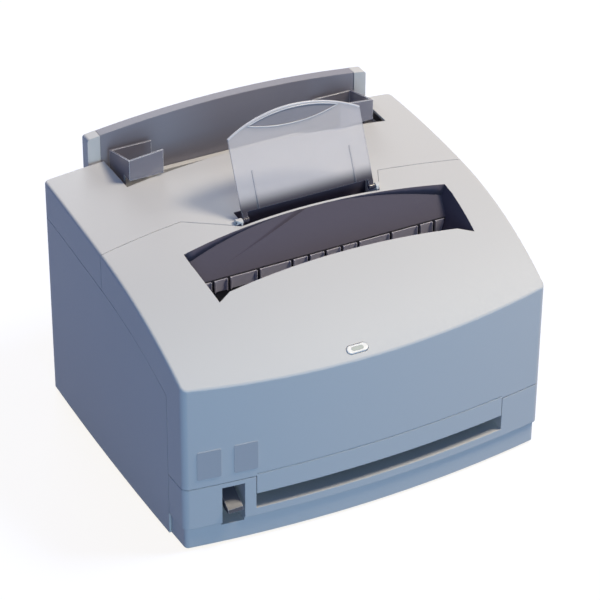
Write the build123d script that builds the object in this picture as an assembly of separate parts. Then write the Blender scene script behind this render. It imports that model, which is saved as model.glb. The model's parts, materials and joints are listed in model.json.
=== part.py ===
from build123d import *
import math
import os

# Laser printer with a vertical sheet feeder, a hinged front cover and a fold-up output flap.
# Millimetres. X runs left to right, Y from front to back, Z up. Inside this script z = 0 is the
# casing's bottom and y = 0 is half way along the side walls; place() moves each piece to the part's
# own origin, the middle of the whole outline at the height of the feet's soles.

# Sheet and the room beside it
PAPER_W = 216.0
DRIVE_BAY = 80.0         # left of the sheet: gears, side plate and wall
RIGHT_BAY = 48.0         # right of the sheet
PATH_X = (DRIVE_BAY - RIGHT_BAY) / 2
SHEET_LEFT = PATH_X - PAPER_W / 2
SHEET_RIGHT = PATH_X + PAPER_W / 2

# Casing outline
WIDTH = DRIVE_BAY + PAPER_W + RIGHT_BAY    # across the corners
DEPTH = 274.0            # along a side wall, corner to corner
FRONT_BULGE = 13.9       # how far the middle of the front stands out
REAR_BULGE = 13.0        # the same at the back
SIDE_BULGE = 2.5         # the same at the sides
CORNER_R = 6.0           # upright corners
EDGE_R = 2.5             # edge between the top and the walls
REAR_HEIGHT = 215.1      # top at the rear edge
ROOF_R = 1300.0          # gentle arc over the rear half
BROW_R = 350.0           # tighter arc that runs down to the front
ROOF_END_Y = 5.0         # where the two arcs meet
WALL = 2.5
SEAM = 0.6               # gap between casing pieces
FOOT_H = 3.0
FOOT_R = 9.0

# Seams
BAND = 35.0              # depth of the skirts under the top edge
SIDE_SEAM_Y = -DEPTH / 2 + 27.5    # upright seam behind the front corners
BASE_SEAM_Z = 62.0       # top of the two front posts
LIP_Z = 43.5             # lower edge of the front cover between the posts
POST_LEFT_X = SHEET_LEFT - 17.0    # inner face of the left post
POST_RIGHT_X = SHEET_RIGHT + 7.0    # inner face of the right post
TOP_SEAM_Y = 33.0        # top seam on the centre line, if it ran straight on
TOP_SEAM_SIDE_Y = 12.0   # top seam at the side walls

# Paper path
PAPER_Z = 37.0           # height of the sheet between the rollers
SLOT_FLOOR_Z = 28.5      # floor of the front exit slot
SHEET_GAP = 0.3          # gap left between two rollers

# Output bin in the front cover
BIN_HALF = PAPER_W / 2 + 18.0
BIN_REAR_Y = 2.5         # middle of the rear rim
BIN_REAR_SAG = 17.0
BIN_LIP_Y = -57.0        # middle of the front lip
BIN_LIP_SAG = 9.0
BIN_POINT_Y = -75.8      # pointed front corners
BIN_POINT_IN = 17.0
RAMP_LOW_Y = -29.0       # lower edge of the sloping rear wall
RAMP_LOW_Z = REAR_HEIGHT - 32.1
BIN_TAPER = 11.0         # how far the side walls lean in
THROAT_Z = REAR_HEIGHT - 59.1    # open lower end of the bin
BIN_WALL = 2.0
RIM_W = 2.5
RIB_OFFSETS = (0.0, 16.0, 32.0, 64.0, 92.0, 107.0)
RIB_T = 1.6

# Output flap
FLAP_X = PATH_X + 2.5
FLAP_W = 127.0
FLAP_SIDE_H = 70.0
FLAP_CROWN = 16.0
FLAP_T = 1.8
FLAP_FOOT = 6.5          # clear height between the pivot and the sheet
FLAP_LEAN = 24.0         # degrees back from upright
FLAP_AXIS_Y = 4.8
FLAP_AXIS_Z = REAR_HEIGHT - 4.6
FLAP_PIN_R = 1.5
TROUGH_BACK_Y = 21.0
TROUGH_FLOOR_Z = REAR_HEIGHT - 23.1

# Sheet feeder at the rear
FEED_LEFT_X = SHEET_LEFT - 20.0
FEED_RIGHT_X = SHEET_RIGHT + 19.4
FEED_EDGE_Y = 107.5      # middle of the slot's front edge
FEED_EDGE_SAG = 13.5
SUPPORT_X0 = SHEET_LEFT - 33.0
SUPPORT_X1 = SHEET_RIGHT + 28.0
SUPPORT_FACE_Y = DEPTH / 2 + 10.0
SUPPORT_T = 11.0
SUPPORT_END_Z = REAR_HEIGHT + 21.9
SUPPORT_CROWN = 9.5
SUPPORT_FOOT_Z = 64.0
END_CAP_W = 12.0
EXT_T = 7.0
EXT_FOOT_Z = REAR_HEIGHT - 65.1
EXT_TRAVEL = 70.0

# Paper guides
GUIDE_LEFT_X = SHEET_LEFT - 14.0
GUIDE_RIGHT_X = SHEET_RIGHT + 7.0
GUIDE_FRONT_Y = 98.0
GUIDE_BACK_Y = SUPPORT_FACE_Y - 7.0
GUIDE_NECK_Y = 110.0     # below the top cover the blade starts here
GUIDE_TOP_FRONT = REAR_HEIGHT + 21.9
GUIDE_TOP_BACK = REAR_HEIGHT + 11.4
GUIDE_T = 1.6
GUIDE_FIN = 31.0
GUIDE_REAR_FIN = 38.0
GUIDE_TRAVEL = 70.0
GUIDE_FOOT_Z = REAR_HEIGHT - 29.1
RACK_Y0 = 99.0
RACK_Y1 = 103.0
CHUTE_Y = 106.5          # rear face of the chute's front wall
CHUTE_T = 2.5

# Frames and drive
FRAME_LEFT_X = SHEET_LEFT - 31.0
FRAME_RIGHT_X = SHEET_RIGHT + 31.0
FRAME_T = 2.0
GEAR_X0 = FRAME_LEFT_X + FRAME_T + 0.4
GEAR_W = 5.0
ROLL_PER_TOOTH = 0.375   # roller radius for each tooth of its gear
DRUM_TEETH = 32
TRANSFER_TEETH = 20
PRESSURE_TEETH = 28
REGISTER_TEETH = 16
EXIT_TEETH = 16
PICKUP_TEETH = 40
DELIVERY_TEETH = 18
MOTOR_TEETH = 14
DRUM_Y = 20.0
FUSER_Y = -72.0
REGISTER_Y = 62.0
EXIT_Y = -104.0
PICKUP_Y = 104.0
PICKUP_Z = 95.0
DELIVERY_Y = -50.0
DELIVERY_Z = 146.0
SHAFT_R = 3.0
RUN = 0.05               # radial running clearance
STUD_R = 2.0

# Hinges
COVER_AXIS_Y = SIDE_SEAM_Y - 23.5
COVER_AXIS_Z = 48.0
COVER_PIN_R = 2.5
LEVER_AXIS_Y = SIDE_SEAM_Y - 9.5
LEVER_AXIS_Z = 43.5

# Button
BUTTON_X = -14.0
BUTTON_Y = -142.5
BUTTON_L = 20.0
BUTTON_W = 8.0
BUTTON_TRAVEL = 1.2

FAR = 400.0              # larger than the printer, for cutting blocks
SPLIT = 0.3              # half of a free gap between moving pieces
ROOF_LEAN = math.asin((DEPTH / 2 - ROOF_END_Y) / ROOF_R)
BROW_Y = ROOF_END_Y + BROW_R * math.sin(ROOF_LEAN)
BROW_Z = REAR_HEIGHT - ROOF_R + (ROOF_R - BROW_R) * math.cos(ROOF_LEAN)
BIN_X0 = PATH_X - BIN_HALF
BIN_X1 = PATH_X + BIN_HALF
SUPPORT_BACK_Y = SUPPORT_FACE_Y + SUPPORT_T
FRONT_Y = -DEPTH / 2 - FRONT_BULGE
ORIGIN_Y = (FRONT_Y + SUPPORT_BACK_Y) / 2
TROUGH_X0 = FLAP_X - FLAP_W / 2 - 1.0
TROUGH_X1 = FLAP_X + FLAP_W / 2 + 1.0
GUIDE_MID_X = (GUIDE_LEFT_X + GUIDE_RIGHT_X) / 2


def box(x0, x1, y0, y1, z0, z1):
    return Pos((x0 + x1) / 2, (y0 + y1) / 2, (z0 + z1) / 2) * Box(x1 - x0, y1 - y0, z1 - z0)


def rod(x0, x1, y, z, r):
    """A round bar along X."""
    return Pos((x0 + x1) / 2, y, z) * Rot(0, 90, 0) * Cylinder(r, x1 - x0)


def rod_y(x, z, r, y0, y1):
    """A round bar along Y."""
    return Pos(x, (y0 + y1) / 2, z) * Rot(90, 0, 0) * Cylinder(r, y1 - y0)


def prism_x(edges, x0, x1):
    """A side-view outline (y, z) carried from x0 to x1."""
    return extrude(Plane.YZ.offset(x0) * make_face(edges), x1 - x0, dir=(1, 0, 0))


def prism_y(edges, y0, y1):
    """A front-view outline (x, z) carried from y0 to y1."""
    return extrude(Plane.XZ.offset(-y0) * make_face(edges), y1 - y0, dir=(0, 1, 0))


def prism_z(edges, z0, z1):
    """A plan outline (x, y) carried from z0 to z1."""
    return extrude(Plane.XY.offset(z0) * make_face(edges), z1 - z0, dir=(0, 0, 1))


def loop(*points):
    return Polyline(*points, close=True).edges()


def circle_y(x, half, crown_y, sag, mid_x):
    """Height of a shallow arc in plan: crown_y on its middle, sag lower at half to each side."""
    radius = (half ** 2 + sag ** 2) / (2 * sag)
    return crown_y - radius + math.sqrt(radius ** 2 - (x - mid_x) ** 2)


def seam_y(x):
    return circle_y(x, WIDTH / 2, TOP_SEAM_Y, TOP_SEAM_Y - TOP_SEAM_SIDE_Y, 0.0)


def rim_y(x):
    return circle_y(x, BIN_HALF, BIN_REAR_Y, BIN_REAR_SAG, PATH_X)


def top_z(y):
    """Height of the casing's top above its bottom."""
    if y >= DEPTH / 2:
        return REAR_HEIGHT
    if y >= ROOF_END_Y:
        return REAR_HEIGHT - ROOF_R + math.sqrt(ROOF_R ** 2 - (y - DEPTH / 2) ** 2)
    return BROW_Z + math.sqrt(BROW_R ** 2 - (y - BROW_Y) ** 2)


def under(inset=0.0, drop=0.0):
    """All space below the top surface, set in by inset and lowered by drop."""
    roof, brow = ROOF_R - inset, BROW_R - inset
    front_y = FRONT_Y - 15.0
    rear_z = REAR_HEIGHT - inset - drop

    def on_roof(angle):
        return (DEPTH / 2 - roof * math.sin(angle), REAR_HEIGHT - ROOF_R + roof * math.cos(angle) - drop)

    def on_brow(angle):
        return (BROW_Y - brow * math.sin(angle), BROW_Z + brow * math.cos(angle) - drop)

    end = math.asin((BROW_Y - front_y) / brow)
    edges = [
        Line((FAR, -FAR), (FAR, rear_z)),
        Line((FAR, rear_z), (DEPTH / 2, rear_z)),
        ThreePointArc((DEPTH / 2, rear_z), on_roof(ROOF_LEAN / 2), on_roof(ROOF_LEAN)),
        ThreePointArc(on_brow(ROOF_LEAN), on_brow((ROOF_LEAN + end) / 2), on_brow(end)),
        Line(on_brow(end), (front_y, -FAR)),
        Line((front_y, -FAR), (FAR, -FAR)),
    ]
    return prism_x(edges, -FAR, FAR)


def plan(inset, z0, z1):
    """The casing's bulged plan outline, set in by inset, as an upright block."""
    hx, hy = WIDTH / 2 - inset, DEPTH / 2 - inset
    edges = [
        ThreePointArc((-hx, -hy), (0, -hy - FRONT_BULGE), (hx, -hy)),
        ThreePointArc((hx, -hy), (hx + SIDE_BULGE, 0), (hx, hy)),
        ThreePointArc((hx, hy), (0, hy + REAR_BULGE), (-hx, hy)),
        ThreePointArc((-hx, hy), (-hx - SIDE_BULGE, 0), (-hx, -hy)),
    ]
    block = prism_z(edges, z0, z1)
    return fillet(block.edges().filter_by(Axis.Z), max(CORNER_R - inset, 1.0))


def outer_block():
    """The whole casing as one solid lump, its top edge rounded."""
    block = plan(0.0, 0.0, REAR_HEIGHT + 30) & under()
    middle = DEPTH / 2 + 3
    rim = [
        e for e in block.edges()
        if e.center().Z > 130 and not (abs(e.center().X) < 20 and abs(e.center().Y) < middle)
        and e.bounding_box().size.Z < 100
    ]
    return fillet([e for e in rim if e.bounding_box().min.Z > 120], EDGE_R)


def inner_block(inset=WALL):
    return plan(inset, -10.0, REAR_HEIGHT + 30) & under(inset)


OUTER = outer_block()
INNER = inner_block()
SHELL = OUTER - INNER


def front_plan(grow=0.0):
    """Plan outline of everything in front of the top seam."""
    left, right = -FAR / 2, FAR / 2
    side = WIDTH / 2
    turn_left, turn_right = TROUGH_X0 - 47.0, TROUGH_X1 + 15.0
    in_left, in_right = TROUGH_X0 - BIN_WALL, TROUGH_X1 + BIN_WALL

    def seam(x):
        return (x, seam_y(x) + grow)

    def rim(x):
        return (x, rim_y(x) + RIM_W + grow)

    edges = [
        Line((left, -FAR), (left, seam(-side)[1])),
        Line((left, seam(-side)[1]), seam(-side)),
        ThreePointArc(seam(-side), seam((turn_left - side) / 2), seam(turn_left)),
        Line(seam(turn_left), rim(in_left)),
        ThreePointArc(rim(in_left), rim((in_left + in_right) / 2), rim(in_right)),
        Line(rim(in_right), seam(turn_right)),
        ThreePointArc(seam(turn_right), seam((turn_right + side) / 2), seam(side)),
        Line(seam(side), (right, seam(side)[1])),
        Line((right, seam(side)[1]), (right, -FAR)),
        Line((right, -FAR), (left, -FAR)),
    ]
    return prism_z(edges, -FAR, FAR)


def bin_plan(grow, z0, z1):
    """Plan outline of the output bin, grown outwards, as an upright block."""
    x0, x1 = BIN_X0 - grow, BIN_X1 + grow
    lip_half = BIN_HALF - BIN_POINT_IN
    lip_end_y = BIN_LIP_Y - BIN_LIP_SAG - grow
    rear_end_y = BIN_REAR_Y - BIN_REAR_SAG + grow
    edges = [
        ThreePointArc((x0, rear_end_y), (PATH_X, BIN_REAR_Y + grow), (x1, rear_end_y)),
        Line((x1, rear_end_y), (x1, BIN_POINT_Y - grow)),
        Line((x1, BIN_POINT_Y - grow), (PATH_X + lip_half, lip_end_y)),
        ThreePointArc((PATH_X + lip_half, lip_end_y), (PATH_X, BIN_LIP_Y - grow), (PATH_X - lip_half, lip_end_y)),
        Line((PATH_X - lip_half, lip_end_y), (x0, BIN_POINT_Y - grow)),
        Line((x0, BIN_POINT_Y - grow), (x0, rear_end_y)),
    ]
    return prism_z(edges, z0, z1)


def bin_hollow(grow=0.0):
    """The bin's inside: a ramp at the rear, an open throat below and side walls that lean in."""
    top = REAR_HEIGHT + 20
    slope = (top_z(BIN_REAR_Y) - RAMP_LOW_Z) / (BIN_REAR_Y - RAMP_LOW_Y)
    rise = grow * math.sqrt(1 + slope ** 2)
    back_y = BIN_REAR_Y + 20.0
    side = prism_x(loop(
        (-FAR, THROAT_Z), (RAMP_LOW_Y + grow, THROAT_Z),
        (RAMP_LOW_Y + grow, RAMP_LOW_Z - rise + grow * slope),
        (back_y, RAMP_LOW_Z - rise + slope * (back_y - RAMP_LOW_Y)), (back_y, top + 20), (-FAR, top + 20),
    ), -FAR, FAR)
    low_x0, low_x1 = BIN_X0 + BIN_TAPER - grow, BIN_X1 - BIN_TAPER + grow
    knee = THROAT_Z + 14.0
    face = prism_y(loop(
        (low_x0, THROAT_Z - 1), (low_x0, knee), (BIN_X0 - grow, top_z(RAMP_LOW_Y)), (BIN_X0 - grow, top),
        (BIN_X1 + grow, top), (BIN_X1 + grow, top_z(RAMP_LOW_Y)), (low_x1, knee), (low_x1, THROAT_Z - 1),
    ), -FAR, FAR)
    return bin_plan(grow, THROAT_Z - 1, top) & side & face


def front_cover():
    """Front wall, front corners, front half of the top and its skirts, with the output bin."""
    ahead = front_plan()
    skirts = box(-FAR, FAR, -FAR, FAR, -FAR, FAR) - under(0.0, BAND)
    corners = box(-FAR, FAR, -FAR, SIDE_SEAM_Y, BASE_SEAM_Z, FAR)
    middle = box(POST_LEFT_X + SEAM, POST_RIGHT_X - SEAM, -FAR, SIDE_SEAM_Y - 20, LIP_Z, FAR)
    shell = (SHELL & ahead & skirts) + (SHELL & corners & under(0.0, BAND)) + (SHELL & middle)
    under_skin = under(WALL / 2)
    tub = bin_hollow(BIN_WALL) & under_skin
    cover = shell + tub
    cover = cover - bin_hollow() - box(-FAR, FAR, -FAR, FAR, -FAR, LIP_Z)
    ribs = [
        box(PATH_X + s * d - RIB_T / 2, PATH_X + s * d + RIB_T / 2, BIN_LIP_Y - BIN_LIP_SAG - 1,
            BIN_LIP_Y + 9, THROAT_Z, RAMP_LOW_Z - 12)
        for d in RIB_OFFSETS for s in ((-1, 1) if d else (1,))
    ]
    rib_block = bin_hollow(BIN_WALL / 2)
    cover = cover + [r & rib_block for r in ribs]
    cover = cover + cover_cheeks() + cover_brackets()
    return cover - button_well() - crease() - lip_rebate()


LIP_T = 0.7
LIP_H = 1.6


def lip_rebate():
    """Thins the wall's lower edge above the posts, so that it swings clear of them."""
    inside = plan(LIP_T, BASE_SEAM_Z - 1.0, BASE_SEAM_Z + LIP_H) & box(-FAR, FAR, -FAR, SIDE_SEAM_Y, 0, FAR)
    return inside - box(POST_LEFT_X, POST_RIGHT_X, -FAR, FAR, 0, FAR)


def cover_cheeks():
    """Two ears behind the lower front wall that turn on the hinge pins."""
    out = []
    for x0 in (POST_LEFT_X + SEAM, POST_RIGHT_X - SEAM - WALL):
        ear = box(x0, x0 + WALL, FRONT_Y, COVER_AXIS_Y + 5.0, LIP_Z, COVER_AXIS_Z + 22.0)
        ear = ear & OUTER - rod(x0 - 1, x0 + WALL + 1, COVER_AXIS_Y, COVER_AXIS_Z, COVER_PIN_R + RUN)
        out.append(ear)
    return out


BRACKET_LEFT_X = BIN_X0 - BIN_WALL - 0.5
BRACKET_RIGHT_X = BIN_X1 + BIN_WALL + 0.5
DELIVERY_R = DELIVERY_TEETH * ROLL_PER_TOOTH
DELIVERY_PINCH_R = 5.0
DELIVERY_PINCH_Y = DELIVERY_Y + DELIVERY_R + DELIVERY_PINCH_R + SHEET_GAP


def cover_brackets():
    """Side plates under the bin that carry the delivery rollers."""
    out = []
    for x0, x1 in ((BRACKET_LEFT_X - WALL, BIN_X0 - BIN_WALL / 2), (BIN_X1 + BIN_WALL / 2, BRACKET_RIGHT_X + WALL)):
        top = box(x0, x1, DELIVERY_Y - 9.0, DELIVERY_PINCH_Y + 7.0, top_z(DELIVERY_Y) - 22.0, FAR) & INNER
        side_x = x0 if x0 < 0 else x1 - WALL
        web = box(side_x, side_x + WALL, DELIVERY_Y - 9.0, DELIVERY_PINCH_Y + 7.0,
                  DELIVERY_Z - 8.0, top_z(DELIVERY_Y) - 10.0)
        plate = top + web
        plate = plate - rod(-FAR, FAR, DELIVERY_Y, DELIVERY_Z, SHAFT_R + RUN)
        out.append(plate - rod(-FAR, FAR, DELIVERY_PINCH_Y, DELIVERY_Z, STUD_R + RUN))
    return out


CREASE_Z = 64.5
CREASE_D = 0.7


def crease():
    """A fine step across the front wall, level with the tops of the posts."""
    band = plan(0.0, CREASE_Z - 1.2, CREASE_Z) - plan(CREASE_D, CREASE_Z - 2, CREASE_Z + 1)
    return band & box(POST_LEFT_X + 2 * SEAM, POST_RIGHT_X - 2 * SEAM, -FAR, 0, 0, FAR)


BUTTON_TILT = math.degrees(math.asin((BROW_Y - BUTTON_Y) / BROW_R))


def on_brow(y):
    """A frame on the sloping front of the top, its own Z square to the surface."""
    return Pos(BUTTON_X, y, top_z(y)) * Rot(BUTTON_TILT, 0, 0)


def oval(length, width, z0, z1):
    return Pos(0, 0, z0) * extrude(SlotOverall(length, width), z1 - z0)


def button_well():
    return on_brow(BUTTON_Y) * oval(BUTTON_L + 2 * SPLIT, BUTTON_W + 2 * SPLIT, -8.0, 5.0)


def feed_plan(grow, z0, z1):
    """Plan outline of the feeder slot, open at the rear for the paper support."""
    x0, x1 = FEED_LEFT_X - grow, FEED_RIGHT_X + grow
    mid, side_y = (x0 + x1) / 2, FEED_EDGE_Y - FEED_EDGE_SAG - grow
    slot = prism_z([
        ThreePointArc((x0, side_y), (mid, FEED_EDGE_Y - grow), (x1, side_y)),
        Line((x1, side_y), (x1, SUPPORT_FACE_Y)),
        Line((x1, SUPPORT_FACE_Y), (x0, SUPPORT_FACE_Y)),
        Line((x0, SUPPORT_FACE_Y), (x0, side_y)),
    ], z0, z1)
    return slot + box(SUPPORT_X0 - SEAM, SUPPORT_X1 + SEAM, SUPPORT_FACE_Y - SEAM, FAR, z0, z1)


def trough_tub():
    """Floor, rear wall and end walls of the trough that the flap stands in."""
    top = top_z(TROUGH_BACK_Y)
    x0, x1 = TROUGH_X0 - BIN_WALL, TROUGH_X1 + BIN_WALL
    low = TROUGH_FLOOR_Z - BIN_WALL
    back = box(x0, x1, TROUGH_BACK_Y, TROUGH_BACK_Y + BIN_WALL, low, FAR)
    floor = box(x0, x1, -20, TROUGH_BACK_Y + 1, low, TROUGH_FLOOR_Z)
    ends = box(x0, TROUGH_X0, -20, TROUGH_BACK_Y + 1, low, FAR) + box(TROUGH_X1, x1, -20, TROUGH_BACK_Y + 1, low, FAR)
    tub = (back + floor + ends) & under(WALL / 2) - front_plan(SEAM)
    bosses = [
        rod(x0 - 4.0, TROUGH_X0, FLAP_AXIS_Y, FLAP_AXIS_Z - 1.5, FLAP_PIN_R + 2.3) - front_plan(SEAM)
        + box(x0, TROUGH_X0, FLAP_AXIS_Y - 1.5, TROUGH_BACK_Y + 1, top - 8, FLAP_AXIS_Z - 1.5),
        rod(TROUGH_X1, x1 + 4.0, FLAP_AXIS_Y, FLAP_AXIS_Z - 1.5, FLAP_PIN_R + 2.3) - front_plan(SEAM)
        + box(TROUGH_X1, x1, FLAP_AXIS_Y - 1.5, TROUGH_BACK_Y + 1, top - 8, FLAP_AXIS_Z - 1.5),
    ]
    return tub + bosses


def top_rear_cover():
    """Rear half of the top with its skirts, the feeder slot and the flap's trough."""
    skirts = box(-FAR, FAR, -FAR, FAR, -FAR, FAR) - under(0.0, BAND)
    cover = SHELL & skirts - front_plan(SEAM)
    cover = cover - feed_plan(0.0, TROUGH_FLOOR_Z - 40, FAR)
    cover = cover - box(TROUGH_X0, TROUGH_X1, -20, TROUGH_BACK_Y, TROUGH_FLOOR_Z, FAR)
    cover = cover + trough_tub()
    return cover - rod(TROUGH_X0 - 7.0, TROUGH_X1 + 7.0, FLAP_AXIS_Y, FLAP_AXIS_Z, FLAP_PIN_R + RUN)


def side_panel(side):
    """Side wall below the skirts, from the front corner's seam round the rear corner."""
    rear_x = WIDTH / 2 - 12.0
    keep = box(side * rear_x, side * FAR, SIDE_SEAM_Y + SEAM, FAR, 0.0, FAR) if side > 0 else \
        box(-FAR, -rear_x, SIDE_SEAM_Y + SEAM, FAR, 0.0, FAR)
    panel = SHELL & keep & under(0.0, BAND + SEAM)
    inner_x = WIDTH / 2 - WALL - 5.0
    flange = box(-FAR, FAR, SIDE_SEAM_Y + SEAM, DEPTH / 2 - 20, 0.0, WALL)
    flange = flange & (box(inner_x, FAR, -FAR, FAR, -1, FAR) if side > 0 else box(-FAR, -inner_x, -FAR, FAR, -1, FAR))
    return panel + (flange & OUTER)


def inlet_cut(x0, x1, z0, z1):
    return box(x0, x1, DEPTH / 2 - 10, FAR, z0, z1)


INLET_X = -WIDTH / 2 + 77.0
INLET_Z = 24.0
INLET_W = 27.5
INLET_H = 20.5
PORT_X = WIDTH / 2 - 76.0
PORT_Z = 22.0
PORT_W = 62.0
PORT_H = 15.0
SCREW_X = WIDTH / 2 - 22.0
SCREW_LOW_Z = 22.0
SCREW_HIGH_Z = REAR_HEIGHT - 65.1
SCREW_R = 1.5
SCREW_HEAD_R = 3.2
SCREW_HEAD_T = 2.0
SCREW_PAD_R = 4.6


def back_y(x):
    """How far back the outside of the back wall lies at x."""
    return circle_y(x, WIDTH / 2, DEPTH / 2 + REAR_BULGE, REAR_BULGE, 0.0)


def screw_pad_y():
    """Depth of the flat that each screw head sits on."""
    return back_y(SCREW_X + SCREW_PAD_R) - 0.4


def screw_places():
    return [(sx * SCREW_X, z) for sx in (-1, 1) for z in (SCREW_LOW_Z, SCREW_HIGH_Z)]


def rear_panel():
    """Back wall between the side walls, notched for the paper support and the sockets."""
    half = WIDTH / 2 - 12.0 - SEAM
    panel = SHELL & box(-half, half, DEPTH / 2 - 8, FAR, WALL, FAR) & under(0.0, BAND + SEAM)
    panel = panel + [
        rod_y(x, z, SCREW_PAD_R, DEPTH / 2 - 6, screw_pad_y()) + rod_y(x, z, SCREW_PAD_R + 1, DEPTH / 2 - 6, DEPTH / 2 - 3)
        for x, z in screw_places()
    ]
    panel = panel - [rod_y(x, z, SCREW_PAD_R, screw_pad_y(), FAR) for x, z in screw_places()]
    panel = panel - [rod_y(x, z, SCREW_R, 0, FAR) for x, z in screw_places()]
    panel = panel - box(SUPPORT_X0 - SEAM, SUPPORT_X1 + SEAM, 0, FAR, SUPPORT_FOOT_Z, FAR)
    panel = panel - inlet_cut(INLET_X - INLET_W / 2, INLET_X + INLET_W / 2, INLET_Z - INLET_H / 2, INLET_Z + INLET_H / 2)
    return panel - inlet_cut(PORT_X - PORT_W / 2, PORT_X + PORT_W / 2, PORT_Z - PORT_H / 2, PORT_Z + PORT_H / 2)


def casing_screws():
    """Four pan-head screws that hold the back wall."""
    y = screw_pad_y()
    return [
        rod_y(x, z, SCREW_HEAD_R, y, y + SCREW_HEAD_T) + rod_y(x, z, SCREW_R, y - 9.0, y + 1)
        - Pos(x, y + SCREW_HEAD_T, z) * Box(3.6, 1.6, 0.9) - Pos(x, y + SCREW_HEAD_T, z) * Box(0.9, 1.6, 3.6)
        for x, z in screw_places()
    ]


POST_BREAK = 0.3         # step broken off the posts' top edge


def post(x0, x1):
    """One of the two hollow front feet of the casing that flank the exit slot."""
    block = OUTER & box(x0, x1, -FAR, SIDE_SEAM_Y, 0.0, BASE_SEAM_Z - SEAM)
    hollow = INNER & box(x0 + (WALL if x0 > -WIDTH / 2 else -20), x1 - (WALL if x1 < WIDTH / 2 else -20),
                         -FAR, FAR, WALL, BASE_SEAM_Z - SEAM - WALL)
    edge = box(-FAR, FAR, -FAR, SIDE_SEAM_Y, BASE_SEAM_Z - SEAM - POST_BREAK, FAR) - plan(POST_BREAK, 0, FAR)
    return block - hollow - edge


RECESS_X0 = POST_LEFT_X - 30.0
RECESS_X1 = POST_LEFT_X - 10.0
RECESS_Z0 = 17.5
RECESS_Z1 = 57.0
RECESS_BACK_Y = SIDE_SEAM_Y - 4.1
RECESS_WALL = 1.4
UNDERCUT_Z = 21.0
UNDERCUT_D = 2.0
FLOOR_BACK_Y = 60.0


def base_casing():
    """Floor pan, the two front posts, the exit slot's floor and the lever recess."""
    floor = INNER & box(-FAR, FAR, -FAR, FAR, 0.0, WALL)
    floor = floor & box(-(WIDTH / 2 - WALL - 5.0 - SPLIT), WIDTH / 2 - WALL - 5.0 - SPLIT, -FAR, FAR, -1, FAR)
    base = floor + post(-FAR, POST_LEFT_X) + post(POST_RIGHT_X, FAR)
    sill = OUTER & box(POST_LEFT_X - 1, POST_RIGHT_X + 1, -FAR, SIDE_SEAM_Y - SEAM, 0.0, SLOT_FLOOR_Z)
    sill = sill - (INNER & box(-FAR, FAR, -FAR, FAR, WALL, SLOT_FLOOR_Z - WALL))
    base = base + sill
    recess = box(RECESS_X0 - RECESS_WALL, RECESS_X1 + RECESS_WALL, -FAR, RECESS_BACK_Y + RECESS_WALL,
                 RECESS_Z0 - RECESS_WALL, RECESS_Z1 + RECESS_WALL) & OUTER
    base = base + recess
    base = base - box(RECESS_X0, RECESS_X1, -FAR, RECESS_BACK_Y, RECESS_Z0, RECESS_Z1)
    undercut = box(-FAR, FAR, -FAR, SIDE_SEAM_Y, -1, UNDERCUT_Z) - plan(UNDERCUT_D, -2, UNDERCUT_Z + 1)
    base = base - undercut
    base = base - rod(RECESS_X0 - 4, POST_LEFT_X + 1, LEVER_AXIS_Y, LEVER_AXIS_Z, STUD_R + RUN)
    base = base - rod(POST_RIGHT_X - 1, POST_RIGHT_X + WALL + 1, LEVER_AXIS_Y, LEVER_AXIS_Z, STUD_R + RUN)
    base = base - [Pos(x, y, 0) * Cylinder(FOOT_PEG_R, 3.0) for x, y in foot_places()]
    return base + hinge_pins()


FOOT_X = WIDTH / 2 - 32.0
FOOT_YS = (-DEPTH / 2 + 19.0, DEPTH / 2 - 25.0)
FOOT_PEG_R = 5.0


def foot_places():
    return [(sx * FOOT_X, y) for sx in (-1, 1) for y in FOOT_YS]


def rubber_feet():
    """Four round feet with a peg up into the floor pan."""
    foot = Pos(0, 0, -FOOT_H / 2) * Cylinder(FOOT_R, FOOT_H)
    foot = chamfer(foot.edges().group_by(Axis.Z)[0], 0.6) + Pos(0, 0, 0.7) * Cylinder(FOOT_PEG_R, 1.4)
    return [Pos(x, y, 0) * foot for x, y in foot_places()]


def hinge_pins():
    """Two pins on the posts' inner walls, on which the front cover turns."""
    left = rod(POST_LEFT_X - WALL, POST_LEFT_X + SEAM + WALL + 1.0, COVER_AXIS_Y, COVER_AXIS_Z, COVER_PIN_R)
    right = rod(POST_RIGHT_X - SEAM - WALL - 1.0, POST_RIGHT_X + WALL, COVER_AXIS_Y, COVER_AXIS_Z, COVER_PIN_R)
    return [left, right]


def support_outline(x0, x1, low_z, drop=0.0):
    """Front-view outline of the paper support: upright ends and a crowned top."""
    mid = (SUPPORT_X0 + SUPPORT_X1) / 2
    half = (SUPPORT_X1 - SUPPORT_X0) / 2

    def crown(x):
        return (x, circle_y(x, half, SUPPORT_END_Z + SUPPORT_CROWN - drop, SUPPORT_CROWN, mid))

    return [
        Line((x0, low_z), crown(x0)),
        ThreePointArc(crown(x0), crown((x0 + x1) / 2), crown(x1)),
        Line(crown(x1), (x1, low_z)),
        Line((x1, low_z), (x0, low_z)),
    ]


EXT_X0 = SUPPORT_X0 + END_CAP_W + SPLIT
EXT_X1 = SUPPORT_X1 - END_CAP_W - SPLIT
EXT_Y0 = SUPPORT_FACE_Y + 0.5


def paper_support():
    """Upright pocket at the rear: two end caps, a back wall and a closed foot."""
    body = prism_y(support_outline(SUPPORT_X0, SUPPORT_X1, SUPPORT_FOOT_Z), SUPPORT_FACE_Y, SUPPORT_BACK_Y)
    body = fillet(body.edges().filter_by(Axis.Y).group_by(Axis.Z)[-1], 3.0)
    pocket = box(EXT_X0 - SPLIT, EXT_X1 + SPLIT, EXT_Y0 - 5, EXT_Y0 + EXT_T + SPLIT, EXT_FOOT_Z - 2.0, FAR)
    lower = box(EXT_X0 - SPLIT, EXT_X1 + SPLIT, SUPPORT_FACE_Y + WALL, SUPPORT_BACK_Y - WALL,
                SUPPORT_FOOT_Z + WALL, EXT_FOOT_Z - 2.0 - WALL)
    top_gap = box(EXT_X0 - SPLIT, EXT_X1 + SPLIT, 0, FAR, SUPPORT_END_Z - 2.0, FAR)
    return body - pocket - lower - top_gap


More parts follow.
